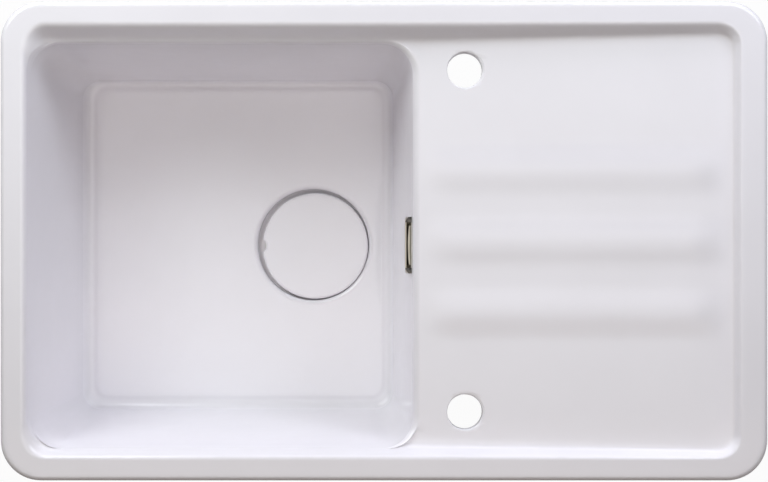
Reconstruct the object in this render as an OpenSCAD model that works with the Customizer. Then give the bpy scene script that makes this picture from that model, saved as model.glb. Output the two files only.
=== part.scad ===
// Inset kitchen sink of glazed fireclay: one bowl, a ridged drainer, two tap holes,
// a basket waste under a loose cover, and an overflow that drains into the waste.
// Origin: centre of the rim in plan, on the worktop plane. +X to the drainer, +Z up.

/* [Rim] */
// Length of the sink over the rim
sink_l = 800; // [780:1:840]
// Width of the sink over the rim, front to back
sink_w = 500; // [494:1:530]
// Corner radius of the rim's outer edge
rim_corner_r = 42; // [34:1:55]
// Height of the rim's crown above the worktop
rim_h = 22.5; // [18:0.5:26]
// Radius of the roll from the crown to the outer skirt
rim_roll = 5.5; // [4:0.5:8]
// Width of the rim's top along the back
rim_back_w = 20; // [17:0.5:23]
// Width of the rim's top along the front
rim_front_w = 21.5; // [18:0.5:24]
// Width of the rim's top beside the bowl
rim_bowl_w = 25; // [22:0.5:27]
// Width of the rim's top at the drainer's end
rim_end_w = 27; // [24:0.5:34]
// Width of the flat seat under the rim
seat_w = 12; // [10:0.5:14]
// Depth of the stiffening apron below the worktop plane
apron_h = 9; // [6:0.5:14]

/* [Drainer] */
// Height of the drainer above the worktop where it meets the bowl
deck_z = 5; // [3:0.5:7]
// Rise of the drainer from the bowl to its far end, so that it drains
deck_rise = 7; // [4:0.5:9]
// Width of the concave face between the rim's top and the drainer, along the back
back_face_w = 28; // [22:1:30]
// Width of the concave face along the front
front_face_w = 20; // [14:1:24]
// Width of the concave face at the drainer's end
end_face_w = 11; // [8:1:16]
// Distance between the crests of two ridges
ridge_pitch = 75; // [66:1:82]
// Height of a ridge's crest above the drainer
ridge_h = 2.2; // [1:0.2:3.5]
// Width of a ridge at its foot
ridge_w = 56; // [40:1:60]

/* [Bowl] */
// Length of the bowl between its walls, just under the lip
bowl_l = 401.5; // [388:0.5:405]
// Width of the bowl between its walls, just under the lip
bowl_w = 424; // [400:1:428]
// Distance of the bowl's middle towards the front
bowl_shift = 4.4; // [0:0.1:5]
// Depth of the bowl's floor at the waste, below the worktop
bowl_depth = 170; // [140:1:210]
// Fall of the floor from its edge to the waste
floor_fall = 2; // [1:0.5:4]
// Slope of the walls from the vertical, in degrees
draft = 7; // [4:0.5:8]
// Radius between the walls and the floor
floor_r = 11; // [8:1:20]
// Corner radius of the bowl in plan, just under the lip
bowl_corner_r = 30; // [26:1:40]
// Radius of the lip between the drainer and the bowl
lip_r = 5; // [3:0.5:6]
// Thickness of the fireclay
wall_t = 12; // [10:0.5:14]

/* [Tap holes] */
// Diameter of a tap hole
tap_d = 37; // [33:0.5:40]
// Distance of the tap holes from the middle of the sink, along X
tap_x = 85; // [80:1:110]
// Distance of each tap hole from the middle, front to back
tap_y = 180; // [170:1:184]
// Width of the rounded edge of a tap hole
tap_edge = 1.5; // [0.5:0.5:3]

/* [Waste] */
// Distance of the waste from the bowl's right wall, along X
waste_in = 113.5; // [108:0.5:140]
// Diameter of the recess for the cover, at its foot
recess_d = 130; // [128:0.5:136]
// Depth of the recess below the bowl's floor
recess_h = 12; // [11:0.5:14]
// Width of the rounded edge of the recess
recess_edge = 6; // [3:0.5:8]
// Diameter of the waste hole
hole_d = 90; // [88:0.5:92]
// Radial play of the cover in its recess
cover_play = 3; // [3:0.1:5]
// Thickness of the cover
cover_t = 7; // [5:0.5:7.5]
// Distance that the cover was put down off centre, along X
cover_dx = 2.3; // [0:0.1:2.3]
// Distance that the cover was put down off centre, along Y
cover_dy = -1.4; // [-1.4:0.1:1.4]
// Length of the finger notch along the cover's edge
notch_l = 17; // [12:0.5:24]
// Depth of the finger notch
notch_w = 4.4; // [3:0.1:7]
// Width of the steel flange around the waste hole
flange_w = 12; // [10:0.5:14]
// Radial gap between the steel cup and the waste hole
cup_gap = 2.8; // [2:0.1:4]
// Depth of the steel cup below its flange
cup_h = 34; // [30:1:42]
// Thickness of the pressed steel
steel_t = 1.2; // [0.8:0.1:1.5]
// Thickness of the flat seals above and below the fireclay
seal_t = 2; // [1:0.5:3]
// Height of the plastic waste body down to its outlet thread
body_h = 46; // [44:1:60]
// Wall of the plastic parts
plastic_t = 3; // [2.5:0.1:4]
// Diameter of the outlet thread, G 1 1/2
outlet_d = 47.8; // [47:0.1:49]
// Length of the outlet thread
outlet_l = 24; // [18:1:34]
// Diameter of the clamping screw
screw_d = 8; // [6:0.5:9]
// Diameter of the clamping screw's head
head_d = 20; // [16:0.5:22]

/* [Basket] */
// Height of the basket's floor above the cup's floor
basket_foot = 12; // [11.5:0.5:14]
// Number of holes around the basket's wall
wall_holes = 20; // [12:1:24]
// Diameter of a basket hole
basket_hole = 4; // [2:0.5:5]
// Diameter of the basket's knob
knob_d = 20; // [14:0.5:26]

/* [Overflow] */
// Length of the overflow frame, along the wall
frame_l = 60; // [56:0.5:70]
// Height of the overflow frame
frame_h = 22; // [20:0.5:26]
// Depth of the overflow frame, out from the wall
frame_d = 5.4; // [5:0.1:7]
// Length of the overflow's mouth, between the closed ends of its top
mouth_l = 48.5; // [44:0.5:50]
// Distance of the frame's top below the drainer
frame_drop = 12; // [11:0.5:40]
// Thickness of the pressed sheet of the overflow's frame
sheet_t = 0.5; // [0.4:0.1:0.7]
// Length of the overflow slot in the fireclay
slot_l = 46; // [40:0.5:50]
// Height of the overflow slot in the fireclay
slot_h = 10; // [8:0.5:11]
// Distance of the slot's middle below the frame's middle
slot_drop = 4; // [3:0.5:5]
// Depth of the overflow chamber behind the wall
chamber_d = 30; // [30:0.5:36]
// Diameter of the unions' threads, G 3/4
union_d = 26.4; // [26:0.1:27]
// Bore of the overflow pipe and its spigots
pipe_bore = 18; // [15:0.5:18.5]
// Pitch of the hose's ribs
rib_pitch = 4; // [3.4:0.1:6]
// Radius of the hose's bend
bend_r = 46; // [40:1:54]

/* [Motion] */
// Radial clearance between pieces that lift away
lift_gap = 0.4; // [0.3:0.1:1]
// Clearance between pieces that are screwed or clipped together
fit_gap = 0.15; // [0.05:0.05:0.3]

/* [Hidden] */
$fn = 96;
CORNER = 7;

// Rim, drainer and bowl
left = -sink_l / 2;
right = sink_l / 2;
side = sink_w / 2;
bowl_left = left + rim_bowl_w + 4;
bowl_right = bowl_left + bowl_l;
bowl_front = -bowl_w / 2 - bowl_shift;
bowl_back = bowl_w / 2 - bowl_shift;
deck_slope = deck_rise / (right - rim_end_w - bowl_right);
wall_skin = wall_t / cos(draft);
floor_z = -bowl_depth;
wall_top = deck_z - lip_r;
fall_w = 36;
lean = tan(draft);
wall_foot = floor_z + floor_fall + floor_r * (1 - sin(draft));
function wall_in(z) = (wall_top - z) * lean;
function deck(x) = deck_z + deck_slope * (x - bowl_right);

// The concave face's share of its fall over its width: a roll, a steep part, a long fillet
roll_u = 0.25;
steep_u = 0.48;
tail_n = 5;
function fall(u) = let(k = 1 / (steep_u - roll_u / 2 + (1 - steep_u) / tail_n))
    u < roll_u ? k * u * u / (2 * roll_u) : u < steep_u ? k * (u - roll_u / 2)
    : 1 - k * (1 - steep_u) / tail_n * pow((1 - u) / (1 - steep_u), tail_n);

// Waste, from the bowl's floor down
cover_d = recess_d - 2 * cover_play;
flange_d = hole_d + 2 * flange_w;
cup_d = hole_d - 2 * (cup_gap + steel_t);
waste_x = bowl_right - waste_in;
waste_y = -bowl_shift;
recess_z = floor_z - recess_h;
boss_z = recess_z - wall_t;
boss_r = recess_d / 2 + 2;
flange_z = recess_z + seal_t;
cup_z = flange_z - cup_h;
body_z = boss_z - seal_t;
body_low = body_z - body_h;
outlet_z = body_low - outlet_l;
body_r = hole_d / 2 + plastic_t;
spigot_z = body_z - 4 - union_d / 2 - 5;
spigot_end = waste_x + body_r + 14;
cup_low_d = 52;
head_h = 7;
insert_l = 14;
insert_z = body_low + 6;

// Cover and basket
cover_low = floor_z - cover_t;
foot_ring = flange_d / 2 - 5;
foot_d = 6;
basket_r = cup_d / 2 - lift_gap - 1.6;
basket_top = flange_z + steel_t - 0.2;
basket_low = cup_z + basket_foot;
basket_h = basket_top - basket_low;
seat_z = cup_z + 4;
seat_edge = 1;
cone_h = 10;
seal_h = 2.2;
seal_edge = 1;
seal_play = 0.6;
function cup_r(z) = cup_low_d / 2 + seat_edge
    + (z - seat_z) * (cup_d / 2 - cup_low_d / 2 - seat_edge) / cone_h;
screw_top = cup_z + steel_t + head_h;
stem_d = 6;

// Overflow, in a frame that leans with the wall
over_y = -bowl_shift;
over_z = deck_z - frame_drop - frame_h / 2;
over_x = bowl_right - wall_in(over_z);
slot_x = over_x - slot_drop * sin(draft);
slot_z = over_z - slot_drop * cos(draft);
front_seal = 0.4;
back_seal = 3;
chamfer_l = 4.5;
chamfer_d = 3;
chamber_l = slot_l + 2 * plastic_t;
chamber_h = slot_h + 8;
ear_w = 7;
spigot_l = 14;
back_x = wall_t + back_seal;
pipe_x = back_x + chamber_d - union_d / 2 - 0.3;
elbow_low = -chamber_h / 2 - spigot_l;
over_screw_y = 17;
over_screw_d = 4;
screw_head_t = 1.3;
union_wall = 3;
union_l = 17;
washer_t = 2;
hose_r = 11.5;
hose_root = 10;
cuff_r = hose_root;
collar_r = union_d / 2 - 0.5;
hose_sides = 8;

// Points of the hose's centre line: down the wall, round a bend, along to the waste body
hose_top = [
    slot_x + pipe_x * cos(draft) + (elbow_low - washer_t) * sin(draft),
    slot_z - pipe_x * sin(draft) + (elbow_low - washer_t) * cos(draft)
];
hose_end = [spigot_end + washer_t, spigot_z];
turn = 90 - draft;
tangent_l = bend_r * tan(turn / 2);
meet_l = (hose_top[1] - hose_end[1]) / cos(draft);
meet = [hose_top[0] - meet_l * sin(draft), hose_end[1]];
down_l = meet_l - tangent_l;
bend_l = bend_r * turn * PI / 180;
along_l = meet[0] - tangent_l - hose_end[0];
hose_l = down_l + bend_l + along_l;
bend_mid = [meet[0] - tangent_l, meet[1] + bend_r];
function hose_turn(s) = draft + min(max(s - down_l, 0), bend_l) / bend_r * 180 / PI;
function hose_point(s) =
    s < down_l ? [hose_top[0] - s * sin(draft), hose_top[1] - s * cos(draft)]
    : s < down_l + bend_l ? bend_mid + bend_r * [cos(hose_turn(s)), -sin(hose_turn(s))] + [0, 0]
    : [meet[0] - tangent_l - (s - down_l - bend_l), meet[1]];

// A rounded rectangle in plan: left, right, front, back, corner radius, height, and how
// much of the drainer's slope it follows
function loop(a) = let(l = a[0], r = a[1], f = a[2], b = a[3], c = a[4], z = a[5], s = a[6])
    [for (k = [0:3], i = [0:CORNER])
        let(t = 90 * (k + i / CORNER),
            x = ((k == 0 || k == 3) ? r - c : l + c) + c * cos(t),
            y = (k < 2 ? b - c : f + c) + c * sin(t))
        [x, y, z + s * deck_slope * (x - bowl_right)]];

// A closed skin through rings of points of equal count, with flat ends
module skin(rings) {
    n = len(rings[0]);
    m = len(rings);
    points = [for (r = rings) each r];
    walls = [for (j = [0:m - 2], i = [0:n - 1])
        let(a = j * n + i, b = j * n + (i + 1) % n, c = a + n, d = b + n)
        each [[a, c, d], [a, d, b]]];
    ends = [[for (i = [0:n - 1]) i], [for (i = [n - 1:-1:0]) (m - 1) * n + i]];
    polyhedron(points, concat(walls, ends), convexity = 8);
}
module loft(loops) skin([for (a = loops) loop(a)]);

// One loop round the rim, drawn in from the outer edge by the same distance on each side
function rim_loop(in, z) = [left + in, right - in, -side + in, side - in,
    rim_corner_r - 0.7 * in, z, 0];

// One loop of the bowl, drawn in from the walls' top, with its corner radius
function bowl_loop(in, corner, z, s) = [bowl_left + in, bowl_right - in,
    bowl_front + in, bowl_back - in, corner, z, s];

// The bowl's inner surface: floor, floor radius, wall, lip and the open space above
module bowl_cut() {
    foot_in = wall_in(wall_foot);
    corner_foot = bowl_corner_r - 8;
    loft(concat(
        [bowl_loop(foot_in + floor_r + fall_w, corner_foot, floor_z, 0)],
        [for (i = [0:5]) let(t = (90 - draft) * i / 5)
            bowl_loop(foot_in + floor_r * (cos(draft) - sin(t)), corner_foot - 7 * (1 - i / 5),
                floor_z + floor_fall + floor_r * (1 - cos(t)), 0)],
        [bowl_loop(0, bowl_corner_r, wall_top, 1)],
        [for (i = [1:4]) let(t = 19 * i, out = lip_r * (1 - cos(t)), edge = min(out, 1))
            [bowl_left - edge, bowl_right + out, bowl_front - out, bowl_back + out,
                bowl_corner_r + out, wall_top + lip_r * sin(t), 1]],
        [for (i = [0:1]) let(out = lip_r + 0.4)
            [bowl_left - 1.2, bowl_right + out, bowl_front - out + 1, bowl_back + out - 1,
                bowl_corner_r + out, deck_z + 0.4 + i * (rim_h + 20), 1 - i]]
    ));
}

// The fireclay's outer surface from the bowl's underside, round the seat and the rim,
// and in over the concave face to the drainer
module basin_body() {
    skin_r = floor_r + wall_t;
    skin_z = floor_z + floor_fall + floor_r - skin_r;
    skin_foot = wall_in(skin_z + skin_r * (1 - sin(draft))) - wall_skin;
    seat_in = seat_w + 2;
    under = deck_z - wall_t;
    web = 4;
    web_in = (wall_in(under - web) - wall_skin) / (1 - deck_slope * lean);
    drop_left = 2.2;
    loft(concat(
        [for (i = [0:4]) let(t = (90 - draft) * i / 4)
            bowl_loop(skin_foot + skin_r * (cos(draft) - sin(t)), bowl_corner_r - 8 + 6 * i / 4,
                skin_z + skin_r * (1 - cos(t)), 0)],
        [bowl_loop(web_in, bowl_corner_r + wall_t, under - web, 1)],
        [bowl_loop(web_in - web * 0.8, bowl_corner_r + wall_t + web, under - web * 0.2, 1)],
        [[left + seat_in + 6, right - seat_in - 22, -side + seat_in + 14, side - seat_in - 14,
            rim_corner_r - 8, under, 1]],
        [[left + seat_in + 4, right - seat_in - 18, -side + seat_in + 9, side - seat_in - 9,
            rim_corner_r - 10, -apron_h, 0]],
        [rim_loop(seat_in + 1, -apron_h)],
        [rim_loop(seat_in, -apron_h + 1)],
        [rim_loop(seat_in - 0.5, 0)],
        [rim_loop(1.5, 0)],
        [rim_loop(0, 1.5)],
        [for (i = [0:4]) let(t = 90 * i / 4)
            rim_loop(rim_roll * (1 - cos(t)), rim_h - rim_roll + (rim_roll - 0.4) * sin(t))],
        [rim_loop(rim_back_w * 0.65, rim_h)],
        [for (u = [0, 0.13, 0.25, 0.36, 0.48, 0.6, 0.76, 1]) let(w = fall(u))
            [left + rim_bowl_w + drop_left * min(1, 4 * u), right - rim_end_w - end_face_w * u,
                -side + rim_front_w + front_face_w * u, side - rim_back_w - back_face_w * u,
                rim_corner_r - 16 + 4 * u, rim_h - (rim_h - deck_z) * w, w]]
    ));
}

// A ridge of the drainer: a soft wave in section that fades out at both ends
module ridge(y) {
    start = bowl_right + lip_r + 3;
    run = right - rim_end_w - end_face_w * 0.8 - start;
    fade = 24;
    steps = 5;
    sink = 0.3;
    stations = concat([for (i = [0:steps]) fade * i / steps],
        [for (i = [steps:-1:0]) run - fade * i / steps]);
    skin([for (d = stations)
        let(f = (1 - cos(180 * min(1, d / fade, (run - d) / fade))) / 2, x = start + d,
            foot = deck(x) - sink - (1 - f), rise = (deck(x) + ridge_h - foot) * (0.2 + 0.8 * f))
        concat([for (i = [7:-1:-7]) let(u = i / 7)
                [x, y + u * ridge_w / 2, foot + rise * (1 + cos(180 * u)) / 2]],
            [[x, y - ridge_w / 2, foot - 2], [x, y + ridge_w / 2, foot - 2]])]);
}

// The basin: rim, drainer and bowl cast as one piece, then bored for taps, waste, overflow
module basin() color("white") difference() {
    union() {
        basin_body();
        for (k = [-1:1]) ridge(k * ridge_pitch);
        translate([waste_x, waste_y, boss_z])
            cylinder(h = floor_z - boss_z - floor_fall, r1 = boss_r, r2 = boss_r + wall_t);
    }
    bowl_cut();
    for (s = [-1, 1]) translate([tap_x, s * tap_y, 0]) {
        translate([0, 0, -apron_h - 20]) cylinder(h = rim_h + 40, d = tap_d);
        translate([0, 0, deck(tap_x) - tap_edge])
            cylinder(h = 4, r1 = tap_d / 2, r2 = tap_d / 2 + 4);
    }
    translate([waste_x, waste_y, 0]) {
        translate([0, 0, boss_z - 1]) cylinder(h = recess_h + wall_t + 2, d = hole_d);
        rotate_extrude() polygon(concat(
            [[0, recess_z], [recess_d / 2 - 3, recess_z], [recess_d / 2, recess_z + 3]],
            [for (i = [0:5]) let(t = 90 * i / 6) [recess_d / 2 + recess_edge * (1 - cos(t)),
                floor_z - recess_edge * (1 - sin(t))]],
            [[recess_d / 2 + recess_edge, floor_z + 0.4], [0, floor_z + 0.4]]));
    }
    at_slot() translate([-5, 0, 0]) extrude_x(wall_t + 12) long_hole(slot_l, slot_h);
}

// A straight slot with round ends
module long_hole(l, h) union() {
    square([l - h, h], center = true);
    for (s = [-1, 1]) translate([s * (l - h) / 2, 0]) circle(d = h);
}

// The frame of the overflow's pieces: X into the fireclay, Z up the leaning wall
module at_overflow() translate([over_x, over_y, over_z]) rotate([0, draft, 0]) children();

// The same frame, at the middle of the slot
module at_slot() translate([slot_x, over_y, slot_z]) rotate([0, draft, 0]) children();

// An outline in the wall's plane, drawn out along X
module extrude_x(l) rotate([90, 0, 90]) linear_extrude(l) children();

// A flat ring about the Z axis
module ring(inner, outer, low, high) rotate_extrude()
    translate([inner, low]) square([outer - inner, high - low]);

// Cover: a glazed disc with rounded edges and a finger notch
module waste_cover() color("white")
    translate([waste_x + cover_dx, waste_y + cover_dy, cover_low]) difference() {
        r = cover_d / 2;
        edge = 2.5;
        rotate_extrude() polygon(concat(
            [[0, 0], [r - 1.5, 0], [r, 1.5]],
            [for (i = [0:6]) let(t = 90 * i / 6)
                [r - edge * (1 - cos(t)), cover_t - edge * (1 - sin(t))]],
            [[0, cover_t]]));
        notch_r = (pow(notch_l / 2, 2) + pow(notch_w, 2)) / (2 * notch_w);
        translate([notch_w - notch_r - r, 0, -1]) cylinder(h = cover_t + 2, r = notch_r);
    }

// Three rubber feet that hold the cover above the flange, so that water runs under it
module cover_feet() color("dimgray")
    translate([waste_x + cover_dx, waste_y + cover_dy, 0]) for (k = [0:2])
        rotate(30 + 120 * k) translate([foot_ring - 3.5, 0, flange_z + steel_t + lift_gap])
            cylinder(h = cover_low - flange_z - steel_t - lift_gap, d = foot_d);

// Strainer flange: a pressed steel cup that hangs in the waste hole by its rim
module strainer_flange() color("lightsteelblue") translate([waste_x, waste_y, 0]) difference() {
    t = steel_t;
    r = cup_d / 2;
    s = cup_low_d / 2;
    rotate_extrude() polygon([
        [0, cup_z], [s + t, cup_z], [s + t + seat_edge, seat_z - t],
        [r + t - 2, seat_z + cone_h - 2], [r + t, seat_z + cone_h], [r + t, flange_z - 2],
        [r + t + 1.5, flange_z], [flange_d / 2, flange_z], [flange_d / 2, flange_z + t],
        [r + 1.5, flange_z + t], [r, flange_z - 1], [r, seat_z + cone_h], [s + seat_edge, seat_z],
        [s, cup_z + t], [0, cup_z + t]]);
    translate([0, 0, cup_z - 1]) cylinder(h = t + 2, d = screw_d + 2 * fit_gap);
    for (k = [0:7]) rotate(45 * k) translate([s * 0.7, 0, cup_z - 1]) cylinder(h = t + 2, d = 10);
}

// Flat seal between the steel flange and the recess
module flange_gasket() color("black") translate([waste_x, waste_y, 0])
    ring(hole_d / 2 + 1, flange_d / 2 - 2, recess_z, flange_z);

// Flat seal between the fireclay's underside and the waste body
module lower_gasket() color("black") translate([waste_x, waste_y, 0])
    ring(hole_d / 2 + 1, flange_d / 2 - 2, body_z, boss_z);

// Waste body: a moulded pot with a flange, an overflow spigot, a spider for the clamping
// screw's insert, and the threaded outlet
module waste_body() color("gainsboro") translate([waste_x, waste_y, 0]) difference() {
    ro = body_r;
    ri = body_r - plastic_t;
    oo = outlet_d / 2;
    oi = oo - plastic_t - 1;
    union() {
        rotate_extrude() polygon([
            [oi, outlet_z], [oo, outlet_z], [oo, body_low], [oo + 2, body_low], [oo + 2, body_low + 2],
            [ro - 8, body_low + 6], [ro, body_low + 12], [ro, body_z - 4], [flange_d / 2, body_z - 4],
            [flange_d / 2, body_z], [ri, body_z], [ri, body_low + 13], [ri - 7, body_low + 9],
            [oi, body_low + 5]]);
        for (k = [0:3]) rotate(45 + 90 * k) translate([insert_r(), -1.25, insert_z])
            cube([ri - insert_r() - 6.5, 2.5, insert_l]);
        ring(insert_r() - 2.5, insert_r() + 1, insert_z, insert_z + insert_l);
        translate([ri + 1, 0, spigot_z]) rotate([0, 90, 0])
            cylinder(h = spigot_end - waste_x - ri - 1, d = union_d);
        for (k = [0:11]) rotate(30 * k + 15) translate([ro - 1, -1, body_low + 16])
            cube([4, 2, body_z - body_low - 19]);
    }
    translate([ri - 4, 0, spigot_z]) rotate([0, 90, 0])
        cylinder(h = spigot_end - waste_x - ri + 5, d = pipe_bore);
}
function insert_r() = screw_d / 2 + 4.5;

// Brass insert in the spider, which takes the clamping screw's thread
module screw_insert() color("goldenrod") translate([waste_x, waste_y, 0])
    ring(screw_d / 2 + fit_gap / 2, insert_r() - 2.5 - fit_gap / 2, insert_z, insert_z + insert_l);

// Clamping screw: its hollow head guides the basket's stem, its shank draws the body up
module clamp_screw() color("silver") translate([waste_x, waste_y, 0]) difference() {
    union() {
        translate([0, 0, cup_z + steel_t]) cylinder(h = head_h, d = head_d);
        translate([0, 0, insert_z - 4]) cylinder(h = cup_z + steel_t - insert_z + 4.5, d = screw_d);
    }
    translate([0, 0, screw_top - 5.5]) cylinder(h = 6, d = stem_d + 2 * lift_gap);
    for (k = [0:1]) rotate(90 * k) translate([-head_d, -1.25, screw_top - 2]) cube([2 * head_d, 2.5, 3]);
}

// Strainer basket: a punched steel cup with a rolled rim
module basket() color("silver") translate([waste_x, waste_y, 0]) difference() {
    t = 1;
    low_r = basket_r * 0.7;
    rotate_extrude() polygon([
        [0, basket_low], [low_r, basket_low], [low_r + 3, basket_low + 2],
        [basket_r, basket_low + basket_h * 0.7], [basket_r + 1.6, basket_top - 1.6],
        [basket_r + 1.6, basket_top], [basket_r - t, basket_top],
        [basket_r - t, basket_low + basket_h * 0.72], [low_r + 2.4, basket_low + 2.6],
        [low_r - 0.4, basket_low + t], [0, basket_low + t]]);
    for (k = [0:wall_holes - 1]) rotate(360 / wall_holes * k)
        translate([0, 0, basket_low + basket_h * 0.45]) rotate([0, 90, 0])
            translate([0, 0, low_r]) cylinder(h = basket_r - low_r + 4, d = basket_hole);
    for (k = [0:wall_holes - 9]) rotate(360 / (wall_holes - 8) * k)
        translate([low_r - 4.5, 0, basket_low - 1]) cylinder(h = t + 2, d = basket_hole);
    translate([0, 0, basket_low - 1]) cylinder(h = t + 2, d = stem_d + 2 * fit_gap);
}

// Rubber ring under the basket, which closes the cup when the basket is pushed down
module basket_seal() color("black") translate([waste_x, waste_y, 0]) {
    inner = head_d / 2 + seat_edge;
    outer = cup_r(basket_low - seal_edge) - lift_gap - seal_play;
    rotate_extrude() polygon([[inner, basket_low - seal_h], [outer - 2 * seal_edge, basket_low - seal_h],
        [outer, basket_low - seal_edge], [outer - seal_edge, basket_low], [inner, basket_low]]);
}

// Knob and stem: the knob lifts the basket, the stem runs in the clamping screw's head
module basket_knob() color("dimgray") translate([waste_x, waste_y, 0]) rotate_extrude() polygon([
    [0, screw_top - 4.5], [stem_d / 2 - 1, screw_top - 4.5], [stem_d / 2, screw_top - 3],
    [stem_d / 2, basket_low + 1], [5, basket_low + 1], [5, basket_low + 3], [3.5, basket_low + 5],
    [3.5, basket_top - 8], [knob_d / 2, basket_top - 5], [knob_d / 2, basket_top - 2.5],
    [knob_d / 2 - 2, basket_top - 1], [0, basket_top - 0.6]]);

// The overflow front's outline in plan: chamfered at both ends, set in by a distance
module front_outline(in) polygon([[1, -frame_l / 2 + in], [-frame_d + chamfer_d, -frame_l / 2 + in],
    [-frame_d + in, -frame_l / 2 + chamfer_l + in * 0.4], [-frame_d + in, frame_l / 2 - chamfer_l - in * 0.4],
    [-frame_d + chamfer_d, frame_l / 2 - in], [1, frame_l / 2 - in]]);

// Overflow front: a pressed steel tray with chamfered ends and a mouth along its top
module overflow_front() color("tan") at_overflow() difference() {
    translate([0, 0, -frame_h / 2]) linear_extrude(frame_h) front_outline(0);
    translate([0, 0, -frame_h / 2 + sheet_t]) linear_extrude(frame_h - 2 * sheet_t) front_outline(sheet_t);
    translate([-frame_d + sheet_t, -mouth_l / 2, 0]) cube([frame_d, mouth_l, frame_h]);
    translate([-front_seal, -frame_l, -frame_h]) cube([10, 2 * frame_l, 2 * frame_h]);
}

// Overflow frame: the back plate that is screwed to the wall, with tabs that hold the front
module overflow_frame() color("tan") at_overflow() {
    l = frame_l - 2 * sheet_t - 2 * fit_gap;
    low = -frame_h / 2 + sheet_t + fit_gap;
    h = frame_h - 2 * sheet_t - 2 * fit_gap;
    difference() {
        translate([-front_seal - sheet_t, -l / 2, low]) cube([sheet_t, l, h]);
        translate([-front_seal - 2, 0, -slot_drop]) extrude_x(4) long_hole(slot_l - 22, slot_h * 0.7);
        for (s = [-1, 1]) translate([-front_seal - 2, s * over_screw_y, -slot_drop])
            rotate([0, 90, 0]) cylinder(h = 4, d = over_screw_d + 2 * fit_gap);
    }
    tab = 1.2;
    for (s = [0, 1]) mirror([0, s, 0])
        translate([-front_seal - sheet_t - tab, l / 2 - sheet_t, low + h * 0.3])
            cube([tab + sheet_t / 2, sheet_t, h * 0.4]);
}

// Bowed baffle inside the front: it hides the slot and the screws
module overflow_baffle() color("tan") at_overflow() {
    chord = slot_l - 5;
    bow = 1.3;
    t = sheet_t;
    r = (pow(chord / 2, 2) + pow(bow, 2)) / (2 * bow);
    low = -frame_h / 2 + sheet_t + fit_gap;
    h = frame_h - 3;
    intersection() {
        translate([-frame_d + sheet_t + fit_gap + r, 0, low]) difference() {
            cylinder(h = h, r = r, $fn = 360);
            translate([0, 0, -1]) cylinder(h = h + 2, r = r - t, $fn = 360);
        }
        translate([-frame_d, -chord / 2, low]) cube([frame_d, chord, h]);
    }
}

// Thin seal between the back plate and the glaze
module overflow_seal() color("white") at_overflow() difference() {
    translate([-front_seal, 0, 0]) extrude_x(front_seal)
        square([frame_l - 1, frame_h - 1], center = true);
    translate([-front_seal - 1, 0, -slot_drop]) extrude_x(front_seal + 2) long_hole(slot_l, slot_h);
}

// Foam seal behind the wall, between the fireclay and the chamber
module overflow_gasket() color("black") at_slot() translate([wall_t, 0, 0]) difference() {
    extrude_x(back_seal) square([chamber_l + 2 * ear_w, chamber_h + 2 * plastic_t], center = true);
    translate([-1, 0, 0]) extrude_x(back_seal + 2) long_hole(slot_l + 2, slot_h + 2);
}

// Overflow elbow: a moulded chamber behind the slot, with a threaded spigot that points down
module overflow_elbow() color("gainsboro") at_slot() difference() {
    t = plastic_t;
    union() {
        translate([back_x, 0, 0]) extrude_x(t)
            square([chamber_l + 2 * ear_w, chamber_h + 2 * plastic_t], center = true);
        translate([back_x, 0, 0]) extrude_x(chamber_d)
            square([chamber_l, chamber_h], center = true);
        translate([pipe_x, 0, elbow_low]) cylinder(h = spigot_l + chamber_h / 2, d = union_d);
    }
    difference() {
        translate([back_x - 1, 0, 0]) extrude_x(chamber_d - t + 1)
            square([chamber_l - 2 * t, chamber_h - 2 * t], center = true);
        for (s = [-1, 1]) translate([back_x - 1, s * over_screw_y, 0])
            rotate([0, 90, 0]) cylinder(h = chamber_d, d = over_screw_d + 5);
    }
    for (s = [-1, 1]) translate([back_x - 1, s * over_screw_y, 0])
        rotate([0, 90, 0]) cylinder(h = chamber_d - 8, d = over_screw_d + fit_gap);
    translate([pipe_x, 0, elbow_low - 1]) cylinder(h = spigot_l + chamber_h / 2 + 1, d = pipe_bore);
}

// Two screws that draw the chamber against the wall from inside the frame
module overflow_screws() color("silver") at_slot() for (s = [-1, 1])
    translate([-sheet_t - front_seal, s * over_screw_y, 0]) rotate([0, 90, 0]) {
        translate([0, 0, -screw_head_t]) cylinder(h = screw_head_t, d = 7);
        cylinder(h = wall_t + back_seal + 14, d = over_screw_d);
    }

// The lower end of the elbow's spigot, looking down the leaning pipe
module at_hose_top() at_slot() translate([pipe_x, 0, elbow_low]) rotate([180, 0, 0]) children();

// The end of the waste body's spigot, looking away from the waste
module at_hose_end() translate([spigot_end, waste_y, spigot_z]) rotate([0, 90, 0]) children();

// Union nut: it grips the thread of a spigot and draws the hose's collar against a washer
module hose_nut() difference() {
    grip = 14;
    r = union_d / 2 + union_wall;
    shoulder = washer_t + 2.4;
    union() {
        translate([0, 0, -union_l + shoulder + union_wall]) cylinder(h = union_l, r = r);
        for (k = [0:grip - 1]) rotate(360 / grip * k)
            translate([r - 0.6, -1.2, -union_l + shoulder + union_wall + 1])
                cube([1.6, 2.4, union_l - 2]);
    }
    translate([0, 0, -union_l]) cylinder(h = union_l + shoulder, d = union_d + 2 * fit_gap);
    cylinder(h = union_l, r = hose_root + 0.6);
}
module upper_hose_nut() color("whitesmoke") at_hose_top() hose_nut();
module lower_hose_nut() color("whitesmoke") at_hose_end() hose_nut();
module upper_hose_washer() color("black") at_hose_top() ring(pipe_bore / 2, collar_r, 0, washer_t);
module lower_hose_washer() color("black") at_hose_end() ring(pipe_bore / 2, collar_r, 0, washer_t);

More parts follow.
